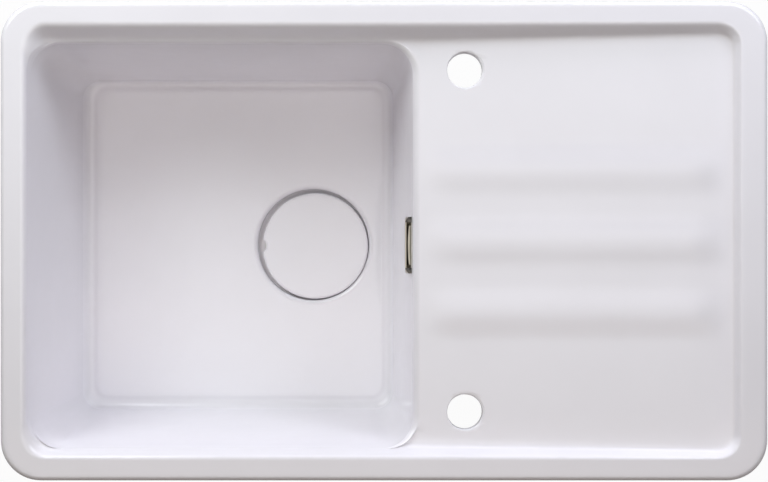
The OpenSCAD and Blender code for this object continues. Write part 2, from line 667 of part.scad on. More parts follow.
// Overflow hose: a ribbed plastic pipe with a smooth cuff and a collar at each end
module overflow_hose() color("whitesmoke") {
    cuff = 22;
    collar = 2;
    ribs = floor((hose_l - 2 * cuff) / rib_pitch);
    first = (hose_l - ribs * rib_pitch) / 2;
    bores = 26;
    outer = concat(
        [[0, collar_r], [collar, collar_r], [collar + 0.1, cuff_r], [first, hose_root]],
        [for (k = [0:ribs - 1]) each [[first + (k + 0.5) * rib_pitch, hose_r],
            [first + (k + 1) * rib_pitch, hose_root]]],
        [[hose_l - collar - 0.1, cuff_r], [hose_l - collar, collar_r], [hose_l, collar_r]]);
    inner = [for (k = [0:bores]) [hose_l * (1 - k / bores), pipe_bore / 2 - 0.5]];
    rings = concat(outer, inner);
    n = hose_sides;
    m = len(rings);
    points = [for (q = rings, i = [0:n - 1])
        let(c = hose_point(q[0]), a = hose_turn(q[0]), t = 360 * (i + 0.5) / n)
        [c[0] + q[1] * cos(t) * cos(a), over_y + q[1] * sin(t), c[1] - q[1] * cos(t) * sin(a)]];
    faces = [for (j = [0:m - 1], i = [0:n - 1])
        let(a = j * n + i, b = j * n + (i + 1) % n, c = ((j + 1) % m) * n + i,
            d = ((j + 1) % m) * n + (i + 1) % n)
        each [[a, b, d], [a, d, c]]];
    polyhedron(points, faces, convexity = 10);
}

basin();
waste_cover();
cover_feet();
strainer_flange();
flange_gasket();
lower_gasket();
waste_body();
clamp_screw();
screw_insert();
basket();
basket_seal();
basket_knob();
overflow_front();
overflow_frame();
overflow_baffle();
overflow_seal();
overflow_gasket();
overflow_elbow();
overflow_screws();
overflow_hose();
upper_hose_nut();
upper_hose_washer();
lower_hose_nut();
lower_hose_washer();
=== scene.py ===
import bpy, bmesh
from math import atan, atan2, copysign, cos, hypot, pi, radians, sin, sqrt, tan
from mathutils import Matrix, Vector


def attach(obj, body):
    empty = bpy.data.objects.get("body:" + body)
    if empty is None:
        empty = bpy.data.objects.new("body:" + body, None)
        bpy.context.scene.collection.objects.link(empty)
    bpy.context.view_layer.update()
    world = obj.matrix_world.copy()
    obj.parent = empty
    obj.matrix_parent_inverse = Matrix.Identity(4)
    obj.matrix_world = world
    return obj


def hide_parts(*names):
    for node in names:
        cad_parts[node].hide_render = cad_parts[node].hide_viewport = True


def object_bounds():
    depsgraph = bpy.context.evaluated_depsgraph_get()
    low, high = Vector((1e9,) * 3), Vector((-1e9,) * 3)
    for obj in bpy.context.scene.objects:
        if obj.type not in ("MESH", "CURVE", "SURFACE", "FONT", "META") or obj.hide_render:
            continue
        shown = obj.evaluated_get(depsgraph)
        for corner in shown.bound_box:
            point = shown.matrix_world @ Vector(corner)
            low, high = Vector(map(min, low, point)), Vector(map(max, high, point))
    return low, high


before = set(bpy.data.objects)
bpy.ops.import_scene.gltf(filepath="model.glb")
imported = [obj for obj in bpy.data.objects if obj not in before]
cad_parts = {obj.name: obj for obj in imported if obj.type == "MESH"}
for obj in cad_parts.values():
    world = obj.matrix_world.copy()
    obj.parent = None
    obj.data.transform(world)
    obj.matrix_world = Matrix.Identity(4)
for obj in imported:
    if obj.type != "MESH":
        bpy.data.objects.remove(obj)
cad_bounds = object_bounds()

# View and light
# The sink is seen from straight above its middle, bowl to the left, back edge up. Two soft
# lights stand low behind it, left and right, as over a packshot table, others fill from
# the back, the front and the ceiling, and a pale room lifts the shadows.
CAMERA_HEIGHT, SENSOR_W, LENS = 1.53, 36, 67.9
bpy.ops.object.camera_add(location=(0, 0, CAMERA_HEIGHT), rotation=(0, 0, 0))
camera = bpy.context.object
camera.name = "overhead_camera"
camera.data.sensor_width, camera.data.lens = SENSOR_W, LENS
bpy.context.scene.camera = camera
bpy.context.scene.view_settings.view_transform = "Standard"


class Wire:
    """One output of a shader node. Arithmetic on it adds Math nodes behind it."""

    def __init__(self, tree, socket):
        self.tree, self.socket = tree, socket

    def node(self, kind, settings=None, sockets=None, output=0):
        made = self.tree.nodes.new(kind)
        for name, value in (settings or {}).items():
            setattr(made, name, value)
        for name, value in (sockets or {}).items():
            if isinstance(value, Wire):
                self.tree.links.new(value.socket, made.inputs[name])
            else:
                made.inputs[name].default_value = value
        return Wire(self.tree, made.outputs[output])

    def output(self, name):
        """Another output of the node that this wire leaves."""
        return Wire(self.tree, self.socket.node.outputs[name])

    def maths(self, operation, first, second):
        return self.node("ShaderNodeMath", {"operation": operation}, {0: first, 1: second})

    def __add__(self, other): return self.maths("ADD", self, other)
    def __radd__(self, other): return self.maths("ADD", other, self)
    def __mul__(self, other): return self.maths("MULTIPLY", self, other)
    def __pow__(self, other): return self.maths("POWER", self, other)

    def between(self, low, high):
        """0 below low, 1 above high, and a soft step between them."""
        return self.node("ShaderNodeMapRange", {"interpolation_type": "SMOOTHSTEP"},
                         {"Value": self, "From Min": low, "From Max": high})

    def mix(self, dark, light):
        """The dark colour where this wire is 0, the light one where it is 1."""
        return self.node("ShaderNodeMix", {"data_type": "RGBA"}, {0: self, 6: dark, 7: light}, 2)

    def noise(self, scale, detail=2.0, roughness=0.5, stretch=None):
        place = self
        if stretch:
            place = self.node("ShaderNodeMapping", None, {"Vector": self, "Scale": stretch})
        return self.node("ShaderNodeTexNoise", None, {"Vector": place, "Scale": scale,
                                                      "Detail": detail, "Roughness": roughness})

    def bump(self, strength, depth):
        return self.node("ShaderNodeBump", None,
                         {"Height": self, "Strength": strength, "Distance": depth})


def linear(red, green, blue):
    """The shader's colour for a colour as it shows on a screen, 0 to 255."""
    return (*[((v / 255 + 0.055) / 1.055) ** 2.4 if v > 10 else v / 3294.6
              for v in (red, green, blue)], 1.0)


def split_by_ray(tree, end, seen_share, mirrored_share, unseen, shown):
    """Shows one shader to the camera and in part to mirrors, and another to all else."""
    tree.nodes.clear()
    seen = Wire(tree, None).node("ShaderNodeLightPath")
    mirrored = seen.output("Is Glossy Ray") + seen.output("Is Transmission Ray")
    share = seen.output("Is Camera Ray") * seen_share + mirrored * mirrored_share
    both = seen.node("ShaderNodeMixShader", None,
                     {0: share, 1: seen.node(*unseen), 2: seen.node(*shown)})
    tree.links.new(both.socket, tree.nodes.new(end).inputs["Surface"])


room = bpy.data.worlds.new("pale_room")
bpy.context.scene.world = room
room.use_nodes = True
split_by_ray(room.node_tree, "ShaderNodeOutputWorld", 1.0, 0.4,
             ("ShaderNodeBackground", None, {"Color": (1.0, 0.97, 0.96, 1), "Strength": 0.06}),
             ("ShaderNodeBackground", None, {"Color": (1, 1, 1, 1), "Strength": 1.0}))


def softbox(name, place, size, power, colour):
    """A rectangular light that faces the middle of the sink."""
    turn = (-Vector(place)).to_track_quat("-Z", "Y").to_euler()
    bpy.ops.object.light_add(type="AREA", location=place, rotation=turn)
    lamp = bpy.context.object
    lamp.name = name
    lamp.data.shape = "RECTANGLE"
    lamp.data.size, lamp.data.size_y = size
    lamp.data.energy, lamp.data.color = power, colour


softbox("left_back_softbox", (-0.80, 0.95, 0.75), (0.9, 0.6), 11.2, (0.95, 1.0, 0.985))
softbox("right_back_softbox", (0.80, 0.95, 0.75), (0.9, 0.6), 9.2, (0.88, 0.93, 1.0))
softbox("low_back_strip", (0.0, 1.9, 0.45), (1.8, 0.6), 10.5, (0.9, 0.84, 1.0))
softbox("front_fill", (0.0, -0.9, 1.8), (2.0, 1.0), 6.8, (1.0, 0.85, 0.75))
softbox("ceiling_panel", (0.0, 0.0, 2.4), (1.6, 1.0), 7.4, (1.0, 0.98, 0.95))

TABLE_GAP, TABLE_SIZE = 0.002, 9
bpy.ops.mesh.primitive_plane_add(size=TABLE_SIZE, location=(0, 0, cad_bounds[0][2] - TABLE_GAP))
floor = bpy.context.object
floor.name = "table_top"
table = bpy.data.materials.new("table_white")
table.use_nodes = True
split_by_ray(table.node_tree, "ShaderNodeOutputMaterial", 0.9, 0.25,
             ("ShaderNodeBsdfDiffuse", None, {"Color": (0.35, 0.34, 0.35, 1)}),
             ("ShaderNodeEmission", None, {"Color": (1, 1, 1, 1), "Strength": 1.06}))
floor.data.materials.append(table)

# Basin
# One casting of fireclay, dipped in a thick white glaze that pools softly over every edge,
# and fired with a bare underside. Its skin is drawn from the waste hole out under the sink,
# round the rim, over the concave face and the drainer, and down into the bowl.
MM = 0.001
RIM, RIM_Z, RIM_CORNER = (-400.0, 400.0, -250.0, 250.0), 22.5, 42.0
TRAY, TRAY_CORNER, END_FACE_W = (-378.8, 373.0, -228.5, 230.0), 26.0, 10.5
BOWL = (-371.0, 30.5, -216.4, 207.6)
DECK_Z, DECK_RISE = 5.0, 7.0
DECK_SLOPE = DECK_RISE / (TRAY[1] - BOWL[1])
WALL_LEAN = radians(7)
LEAN, UPRIGHT = tan(WALL_LEAN), radians(90) - WALL_LEAN
FLOOR_EDGE_Z, BOWL_FLOOR_Z = -168.0, -170.0
WASTE = (-83.0, -4.4)
SIDE_POINTS = {"right": 84, "back": 48, "left": 26, "front": 48}
CORNER_POINTS, BUNCHED = 14, 0.45
BACK_FACE_W, FRONT_FACE_W = (8, 1.5), (1.6, 1.36)
RIDGES, RIDGE_H, RIDGE_HALF = (-75.0, 0.0, 75.0), 2.2, 31.0
RIDGE_FADE, FROM_BOWL, FROM_END = 30, 8, 12


def step(value):
    value = min(1.0, max(0.0, value))
    return value * value * (3 - 2 * value)


def spread(count):
    """Shares of a side from 0 up to but not including 1, closer together at its ends."""
    return [(1 - BUNCHED) * i / count + BUNCHED * (1 - cos(pi * i / count)) / 2
            for i in range(count)]


def rounded(left, right, front, back, corner):
    """Points round a rectangle with round corners: x, y and the outward normal."""
    points = []
    spans = [("right", (right, front + corner), (right, back - corner)),
             ("back", (right - corner, back), (left + corner, back)),
             ("left", (left, back - corner), (left, front + corner)),
             ("front", (left + corner, front), (right - corner, front))]
    for turn, (side, a, b) in zip((0, 90, 180, 270), spans):
        out = (cos(radians(turn)), sin(radians(turn)))
        for share in spread(SIDE_POINTS[side]):
            points.append((a[0] + (b[0] - a[0]) * share, a[1] + (b[1] - a[1]) * share, *out))
        middle = (b[0] - out[0] * corner, b[1] - out[1] * corner)
        for i in range(CORNER_POINTS):
            angle = radians(turn + 90 * i / CORNER_POINTS)
            out = (cos(angle), sin(angle))
            points.append((middle[0] + corner * out[0], middle[1] + corner * out[1], *out))
    return points


def sides_share(nx, ny):
    """How much a point of a corner belongs to the left, right, front and back side."""
    return [max(-nx, 0) ** 2, max(nx, 0) ** 2, max(-ny, 0) ** 2, max(ny, 0) ** 2]


def inset(box, by, corner, z):
    """A ring inside a box. Its insets and heights are one number, or one for each side."""
    by, z = [v if isinstance(v, (list, tuple)) else [v] * 4 for v in (by, z)]
    sides = rounded(box[0] + by[0], box[1] - by[1], box[2] + by[2], box[3] - by[3], corner)
    return [(x, y, sum(w * h for w, h in zip(sides_share(nx, ny), z))) for x, y, nx, ny in sides]


def deck_z(x):
    return DECK_Z + DECK_SLOPE * max(0.0, x - BOWL[1])


def sweep(u):
    """The concave face's share of its whole drop, over its width from 0 to 1."""
    ease, steep, tail = 0.34, 0.42, 5
    steepest = 1 / (ease / 2 + steep - ease + (1 - steep) / tail)
    if u < ease:
        return steepest * ease * ((u / ease) ** 3 - (u / ease) ** 4 / 2)
    if u < steep:
        return steepest * (u - ease / 2)
    rest = (1 - min(u, 1.0)) / (1 - steep)
    return 1 - steepest * (1 - steep) * rest ** tail / tail


def tray_z(x, y):
    """Height of the tray inside the rim: the concave face, the drainer and its ridges."""
    left, right, front, back = TRAY
    drop = RIM_Z - deck_z(x)
    across = max(x - right, left - x) + TRAY_CORNER
    along = max(y - back, front - y) + TRAY_CORNER
    if across > 0 and along > 0:
        inside = TRAY_CORNER - hypot(across, along)
        end_share = across * across / (across * across + along * along)
    else:
        inside = TRAY_CORNER - max(across, along)
        end_share = 1.0 if across > along else 0.0
    least, per_drop = BACK_FACE_W if y > 0 else FRONT_FACE_W
    width = least + per_drop * drop
    if x > 0:
        width += (END_FACE_W - width) * end_share
    z = RIM_Z - drop * sweep(max(0.0, inside) / width)
    fade = (step((x - BOWL[1] - FROM_BOWL) / RIDGE_FADE)
            * step((right - FROM_END - x) / RIDGE_FADE))
    for ridge in RIDGES:
        off = abs(y - ridge)
        if off < RIDGE_HALF:
            z += RIDGE_H * fade * (1 + cos(pi * off / RIDGE_HALF)) / 2
    return z


def circle_ring(radius, z, like):
    """A ring round the waste, whose points lie in line with those of another ring."""
    turns = [atan2(y - WASTE[1], x - WASTE[0]) for x, y, _ in like]
    return [(WASTE[0] + radius * cos(t), WASTE[1] + radius * sin(t), z) for t in turns]


def shared_ring(ring_a, ring_b, share, z):
    return [(a[0] + (b[0] - a[0]) * share, a[1] + (b[1] - a[1]) * share, z)
            for a, b in zip(ring_a, ring_b)]


def sloped(ring):
    """A ring of the underside, which follows the drainer's slope."""
    return [(x, y, z + DECK_SLOPE * (x - BOWL[1])) for x, y, z in ring]


# Under the sink: the boss round the waste hole, the floor's underside, its fillet, the
# bowl's outer wall and the drainer's underside
SKIN_R, SKIN_T, UNDER_FLOOR, UNDER_DECK, SKIN_CORNER = 23.0, 12.0, -180.0, -11, 22
skin_in = SKIN_T / cos(WALL_LEAN)
foot_in = -(UNDER_FLOOR + SKIN_R * (1 - sin(WALL_LEAN))) * LEAN - skin_in
under_ring = inset(BOWL, foot_in + SKIN_R * cos(WALL_LEAN), SKIN_CORNER, UNDER_FLOOR)
rings = [circle_ring(radius, z, under_ring)
         for radius, z in ((45.0, -194.0), (65.6, -194.0), (67.0, -193.2), (74.2, -180.8))]
boss_foot = circle_ring(76, 0, under_ring)
rings += [shared_ring(boss_foot, under_ring, share, UNDER_FLOOR) for share in (0.02, 0.5)]
for i in range(8):
    angle = UPRIGHT * i / 7
    rings.append(inset(BOWL, foot_in + SKIN_R * (cos(WALL_LEAN) - sin(angle)),
                       SKIN_CORNER + 6 * i / 7, UNDER_FLOOR + SKIN_R * (1 - cos(angle))))
ring_low = rings[-1]
web_in = (-UNDER_DECK * LEAN - skin_in) / (1 - DECK_SLOPE * LEAN)
ring_top = sloped(inset(BOWL, web_in, RIM_CORNER, UNDER_DECK))
for i in range(1, 7):
    rings.append([tuple(a[k] + (b[k] - a[k]) * i / 7 for k in range(3))
                  for a, b in zip(ring_low, ring_top)])
rings.append(ring_top)
for inwards, z in ((-1.0, -8.9), (-3.2, -7.6)):
    rings.append(sloped(inset(BOWL, web_in + inwards, RIM_CORNER - inwards, z)))
for by, z in (((20, 38, 29, 29), -7.2), ((20, 36.5, 27.5, 27.5), -7.0)):
    rings.append(sloped(inset(RIM, by, 34, z)))
rings += [inset(RIM, (18.5, 33, 24.5, 24.5), 33, -8.4),
          inset(RIM, (17, 31.5, 22.5, 22.5), 32, -9.0)]

# Round the rim: apron, seat, skirt and the rolled crown
OUTER_ROLL, CORNER_SHRINK = 5.5, 0.7
around = [(15.2, -9.0), (14.2, -8.6), (13.8, -7.6), (13.5, -1.0), (13.2, -0.2), (12.4, 0.0),
          (2.2, 0.0), (1.0, 0.25), (0.25, 1.0), (0.0, 2.2), (0.0, 6.0)]
for i in range(12):
    angle = radians(86) * i / 11
    around.append((OUTER_ROLL * (1 - cos(angle)), RIM_Z - OUTER_ROLL * (1 - sin(angle))))
rings += [inset(RIM, inwards, RIM_CORNER - CORNER_SHRINK * inwards, z) for inwards, z in around]
rings += [inset(RIM, 8, 36.4, RIM_Z), inset(RIM, 14, 32, RIM_Z),
          inset(RIM, (17, 20, 16.5, 16.5), 29, RIM_Z)]

# Over the concave face and the drainer to the bowl's lip
LIP_R, LEFT_ROLL, LEFT_PACE = {"right": 8.5, "front": 6.0, "back": 6.0}, 6.0, 1.6


def left_edge(share):
    """The rim rolls straight into the bowl's left wall: x and z of that roll."""
    wall_z = RIM_Z - LEFT_ROLL * (1 - cos(UPRIGHT))
    angle = min(1.0, share * 2) * UPRIGHT
    if share < 0.5:
        return (BOWL[0] - wall_z * LEAN - LEFT_ROLL * (sin(UPRIGHT) - sin(angle)),
                RIM_Z - LEFT_ROLL * (1 - cos(angle)))
    z = wall_z * (1 - (share - 0.5) * LEFT_PACE)
    return BOWL[0] - z * LEAN, z


def lip_start(side, height_at):
    """Where the tray turns down into a wall: how far out, how high, how steep, how round."""
    out = radius = LIP_R[side]
    for _ in range(30):
        z = height_at(out)
        slope = atan((height_at(out + 0.1) - height_at(out - 0.1)) / 0.2)
        foot_z = z - radius * (cos(slope) - cos(UPRIGHT))
        out = foot_z * LEAN + radius * (sin(UPRIGHT) - sin(slope))
    return out, z, slope, radius


BESIDE_TAPS, MID_BOWL = 110, -170
lips = [lip_start("right", lambda out: tray_z(BOWL[1] + out, BESIDE_TAPS)),
        lip_start("front", lambda out: tray_z(MID_BOWL, BOWL[2] - out)),
        lip_start("back", lambda out: tray_z(MID_BOWL, BOWL[3] + out))]
FACE_RINGS, DECK_RINGS, LIP_RINGS = 22, 30, 8
BACK_GAP, FRONT_GAP, WIDER = 0.8, 0.5, 7
lip_right, lip_front, lip_back = BOWL[1] + lips[0][0], BOWL[2] - lips[1][0], BOWL[3] + lips[2][0]
face_foot = TRAY[1] - 1.15 * END_FACE_W
for i in range(FACE_RINGS + DECK_RINGS + 1):
    if i <= FACE_RINGS:
        share = i / FACE_RINGS
        right = TRAY[1] + (face_foot - TRAY[1]) * share
        back = TRAY[3] + (lip_back + BACK_GAP - TRAY[3]) * share
        front = TRAY[2] + (lip_front - FRONT_GAP - TRAY[2]) * share
        corner = TRAY_CORNER + WIDER * share
        left, left_z = left_edge(0.5 * share)
    else:
        share = (i - FACE_RINGS) / DECK_RINGS
        right = face_foot + (lip_right - face_foot) * share
        back = lip_back + BACK_GAP * (1 - share)
        front = lip_front - FRONT_GAP * (1 - share)
        corner = TRAY_CORNER + WIDER + 2 * share
        left, left_z = left_edge(0.5 + 0.25 * share)
    ring = []
    for x, y, nx, ny in rounded(left, right, front, back, corner):
        to_left = sides_share(nx, ny)[0]
        ring.append((x, y, to_left * left_z + (1 - to_left) * tray_z(x, y)))
    rings.append(ring)
for i in range(1, LIP_RINGS + 1):
    left, left_z = left_edge(0.75 + 0.25 * i / LIP_RINGS)
    ins, heights = [left - BOWL[0]], [left_z]
    for out, z, slope, radius in lips:
        angle = slope + (UPRIGHT - slope) * i / LIP_RINGS
        ins.append(radius * (sin(angle) - sin(slope)) - out)
        heights.append(z - radius * (cos(slope) - cos(angle)))
    rings.append(inset(BOWL, ins, 35 - 3.0 * i / LIP_RINGS, heights))

# Down the bowl's wall, into the gutter round the floor, over its crest and in to the waste
WALL_RINGS, GUTTER, CREST_W, FOOT_R = 12, 0.8, 6.0, (11.0, 8.0, 10.5, 6.0)
gutter_z = FLOOR_EDGE_Z - GUTTER
foot_zs = [gutter_z + r * (1 - sin(WALL_LEAN)) for r in FOOT_R]
for i in range(1, WALL_RINGS):
    zs = [h + (foot - h) * i / WALL_RINGS for h, foot in zip(heights, foot_zs)]
    rings.append(inset(BOWL, [-z * LEAN for z in zs], 32 - 10 * i / WALL_RINGS, zs))
for i in range(11):
    angle = UPRIGHT * (1 - i / 10)
    ins = [-z * LEAN + r * (cos(WALL_LEAN) - sin(angle)) for z, r in zip(foot_zs, FOOT_R)]
    zs = [gutter_z + r * (1 - cos(angle)) for r in FOOT_R]
    rings.append(inset(BOWL, ins, 22 - 5 * i / 10, zs))
for share in (0.2, 0.4, 0.6, 0.8, 1.0):
    floor_ring = inset(BOWL, [v + CREST_W * share for v in ins], 17 - 3 * share,
                       gutter_z + GUTTER * step(share))
    rings.append(floor_ring)
RECESS_R, RECESS_ROLL, RECESS_Z, HOLE_R = 65, 6, -182, 45
recess_lip = circle_ring(RECESS_R + RECESS_ROLL, 0, floor_ring)
for share in (0.03, 0.12, 0.3, 0.5, 0.7, 0.88, 0.97):
    rings.append(shared_ring(floor_ring, recess_lip, share,
                             BOWL_FLOOR_Z + (FLOOR_EDGE_Z - BOWL_FLOOR_Z) * (1 - share) ** 2))


def near(radius, height, *offsets):
    """Points of a profile, given by how far they lie from a radius and a height."""
    return [(radius + r, height + z) for r, z in offsets]


recess = [(RECESS_R + RECESS_ROLL * (1 - cos(radians(a))),
           BOWL_FLOOR_Z - RECESS_ROLL * (1 - sin(radians(a))))
          for a in [90 * (1 - i / 8) for i in range(9)]]
recess += near(RECESS_R, RECESS_Z, (0, 3.4), (-0.4, 2), (-1.4, 0.8), (-3, 0.1), (-4.5, 0))
recess += near(HOLE_R, RECESS_Z, (1, 0), (0.3, -0.3), (0, -1), (0, -8))
rings += [circle_ring(radius, z, floor_ring) for radius, z in recess]


def deselect():
    if bpy.context.object and bpy.context.object.mode != "OBJECT":
        bpy.ops.object.mode_set(mode="OBJECT")
    bpy.ops.object.select_all(action="DESELECT")


def drawn_out(name, rings, closed=False, weld=True):
    """A skin that is extruded ring by ring from a circle, each new ring put on its points.
    A closed one ends where it began. Welding merges points less than 0.03 mm apart."""
    deselect()
    bpy.ops.mesh.primitive_circle_add(vertices=len(rings[0]), radius=0.1)
    piece = bpy.context.object
    piece.name = name
    bpy.ops.object.mode_set(mode="EDIT")
    mesh = bmesh.from_edit_mesh(piece.data)
    mesh.verts.ensure_lookup_table()
    front = list(mesh.verts)
    for vert, point in zip(front, rings[0]):
        vert.co = Vector(point) * MM
    for ring in rings[1:]:
        edges = [e for v, w in zip(front, front[1:] + front[:1])
                 for e in v.link_edges if w in e.verts]
        made = bmesh.ops.extrude_edge_only(mesh, edges=edges)["geom"]
        fresh = {}
        new_verts = [g for g in made if isinstance(g, bmesh.types.BMVert)]
        for vert in new_verts:
            for edge in vert.link_edges:
                other = edge.other_vert(vert)
                if other not in new_verts:
                    fresh[other] = vert
        front = [fresh[v] for v in front]
        for vert, point in zip(front, ring):
            vert.co = Vector(point) * MM
    bmesh.update_edit_mesh(piece.data)
    if closed:
        bpy.ops.mesh.select_all(action="DESELECT")
        bpy.ops.mesh.select_non_manifold()
        bpy.ops.mesh.bridge_edge_loops()
    bpy.ops.mesh.select_all(action="SELECT")
    if weld:
        bpy.ops.mesh.remove_doubles(threshold=0.03 * MM)
    bpy.ops.mesh.normals_make_consistent(inside=False)
    bpy.ops.object.mode_set(mode="OBJECT")
    return piece


basin = drawn_out("glazed_basin", rings, closed=True, weld=False)


def only(piece):
    """Selects one piece alone, and makes it the active one."""
    deselect()
    bpy.context.view_layer.objects.active = piece
    piece.select_set(True)


def applied(piece, kind, **settings):
    """Adds a modifier and applies it at once."""
    only(piece)
    added = piece.modifiers.new("step", kind)
    for name, value in settings.items():
        setattr(added, name, value)
    bpy.ops.object.modifier_apply(modifier="step")
    return piece


def cut_from(piece, cutter):
    """Takes a cutter's shape out of a piece, and the cutter away."""
    applied(piece, "BOOLEAN", object=cutter, operation="DIFFERENCE", solver="EXACT")
    bpy.data.objects.remove(cutter)


def lathe(profile, points=64, middle=(0.0, 0.0)):
    """Rings about the Z axis from a profile of radius and height. A pole is a tiny ring."""
    return [[(middle[0] + max(r, 0.01) * cos(2 * pi * i / points),
              middle[1] + max(r, 0.01) * sin(2 * pi * i / points), z)
             for i in range(points)] for r, z in profile]


def smooth(piece, degrees=35):
    only(piece)
    bpy.ops.object.shade_smooth_by_angle(angle=radians(degrees))
    return piece


TAP_R, TAP_EDGE, TAP_AT = 18.5, 1.8, ((85, -180), (85, 180))
for tap in TAP_AT:
    top = deck_z(tap[0])
    flare = [(TAP_R + TAP_EDGE * (1 - cos(radians(a))),
              top - TAP_EDGE * (1 - sin(radians(a)))) for a in range(0, 91, 15)]
    drill = [(0, -30), (TAP_R, -30)] + flare
    drill += near(TAP_R, top, (2.4, 0.35), (3, 6)) + [(0, top + 6)]
    cut_from(basin, drawn_out("tap_drill", lathe(drill, 72, tap)))

# The overflow's slot goes through the bowl's right wall. Its pieces are placed in a frame
# of their own: X into the fireclay, Z up the leaning wall.
OVER_Z, SLOT_DROP, SLOT_L, SLOT_H = -18.0, 4.0, 46.0, 10.0
sin_lean, cos_lean = sin(WALL_LEAN), cos(WALL_LEAN)
OVER_AT = (BOWL[1] + OVER_Z * LEAN, WASTE[1], OVER_Z)
SLOT_AT = (OVER_AT[0] - SLOT_DROP * sin_lean, WASTE[1], OVER_Z - SLOT_DROP * cos_lean)


def into_wall(x, y, z):
    """A point of the slot's frame in the sink's frame, in millimetres."""
    return (SLOT_AT[0] + x * cos_lean + z * sin_lean, SLOT_AT[1] + y,
            SLOT_AT[2] - x * sin_lean + z * cos_lean)


slot = []
for x, size in ((-9, 0.0005), (-9, 1), (17, 1), (17, 0.0005)):
    ring = []
    for i in range(48):
        across, up = cos(2 * pi * i / 48), sin(2 * pi * i / 48)
        end = copysign((SLOT_L - SLOT_H) / 2, across) if abs(across) > 1e-6 else 0
        ring.append(into_wall(x, size * (end + SLOT_H / 2 * across), size * SLOT_H / 2 * up))
    slot.append(ring)
cut_from(basin, drawn_out("slot_cutter", slot))
smooth(basin, 38)


def fitted(piece, skin, body, node):
    """Gives a piece its finish, the body it rides on, and the node it stands for."""
    piece.data.materials.clear()
    piece.data.materials.append(skin)
    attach(piece, body)
    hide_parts(node)


def finish(name, colour, rough, metal=0.0, **fixed):
    """A new material: its place on the object, and its shader, whose sockets take wires."""
    made = bpy.data.materials.new(name)
    made.use_nodes = True
    tree = made.node_tree
    shader = tree.nodes["Principled BSDF"]
    fixed.update({"Base Color": colour, "Roughness": rough, "Metallic": metal})
    for socket, value in fixed.items():
        shader.inputs[socket.replace("_", " ")].default_value = value
    place = Wire(tree, tree.nodes.new("ShaderNodeTexCoord").outputs["Object"])
    return made, place, shader


def plug(shader, socket, wire):
    wire.tree.links.new(wire.socket, shader.inputs[socket])


def vary(shader, pattern, dark, light, rough=None, relief=None, low=0.3, high=0.7):
    """Lets a pattern shift the colour between two tones, and wires roughness and relief."""
    plug(shader, "Base Color", pattern.between(low, high).mix(dark, light))
    if rough:
        plug(shader, "Roughness", rough)
    if relief:
        plug(shader, "Normal", relief)


glaze, place, shader = finish("white_glaze", linear(243, 241, 246), 0.12)
cloud = place.noise(9, 3, 0.55)
vary(shader, cloud, linear(242, 240, 245), linear(244, 242, 247), 0.09 + cloud * 0.08,
     (place.noise(38, 2, 0.4) + place.noise(14, 1, 0.4) * 1.6).bump(0.25, 0.0006))
fitted(basin, glaze, "root", "basin")

biscuit, place, shader = finish("bare_fireclay", linear(214, 206, 192), 0.85)
grain = place.noise(620, 4, 0.65)
vary(shader, grain * 0.7 + place.noise(20, 3) * 0.3, linear(196, 186, 170),
     linear(222, 214, 200), None, grain.bump(0.5, 0.0005))
basin.data.materials.append(biscuit)
MID = ((BOWL[0] + BOWL[1]) / 2, (BOWL[2] + BOWL[3]) / 2)
WALL_SHY, RECESS_REACH = 6, 72
for face in basin.data.polygons:
    x, y, z = face.center / MM
    shy = WALL_SHY + z * LEAN
    in_bowl = BOWL[0] - shy < x < BOWL[1] + shy and BOWL[2] - shy < y < BOWL[3] + shy
    faces_in = face.normal.x * (MID[0] - x) + face.normal.y * (MID[1] - y) > 0
    in_waste = hypot(x - WASTE[0], y - WASTE[1]) < RECESS_REACH
    in_tap = hypot(x - TAP_AT[1][0], abs(y) - TAP_AT[1][1]) < TAP_R + 1
    glazed = in_tap or in_bowl and (faces_in or in_waste or face.normal.z > 0.5)
    if face.normal.z < -0.2 and z < -0.5 or z < -1.2 and not glazed:
        face.material_index = 1

# Waste cover
# A loose disc of the same glazed fireclay. It lies in the recess over the waste, a
# little off centre, and a finger lifts it by the round bite in its edge.
COVER_R, COVER_T, COVER_AT = 62.0, 7.0, (WASTE[0] + 2.3, WASTE[1] - 1.4)
BITE_R, BITE_DEEP, BITE_EASE, COVER_ROLL = 8.5, 4.4, 3.2, 3.0


def arc(middle, radius, first, last, count):
    """Points of an arc without its last one: x, y and the outward normal, which points to
    the middle where the radius is negative."""
    turns = [first + (last - first) * i / count for i in range(count)]
    return [(middle[0] + radius * cos(t), middle[1] + radius * sin(t),
             cos(t), sin(t)) for t in turns]


bite_x = COVER_R + BITE_R - BITE_DEEP
ease_x = ((COVER_R - BITE_EASE) ** 2 + bite_x ** 2 - (BITE_R + BITE_EASE) ** 2) / (2 * bite_x)
ease_y = sqrt((COVER_R - BITE_EASE) ** 2 - ease_x ** 2)
ease_turn, bite_turn = atan2(ease_y, ease_x), atan2(ease_y, bite_x - ease_x)
outline = arc((0, 0), COVER_R, ease_turn, 2 * pi - ease_turn, 132)
outline += arc((ease_x, -ease_y), BITE_EASE, -ease_turn, bite_turn, 7)
outline += arc((bite_x, 0), -BITE_R, bite_turn, -bite_turn, 14)
outline += arc((ease_x, ease_y), BITE_EASE, -bite_turn, ease_turn, 7)


def cover_ring(inwards, z, radius=None):
    """The cover's outline set in by a distance, or a circle whose points lie in line with it."""
    ring = []
    for x, y, nx, ny in outline:
        x, y = x - inwards * nx, y - inwards * ny
        if radius:
            x, y = radius * x / hypot(x, y), radius * y / hypot(x, y)
        ring.append((COVER_AT[0] - x, COVER_AT[1] - y, z))
    return ring


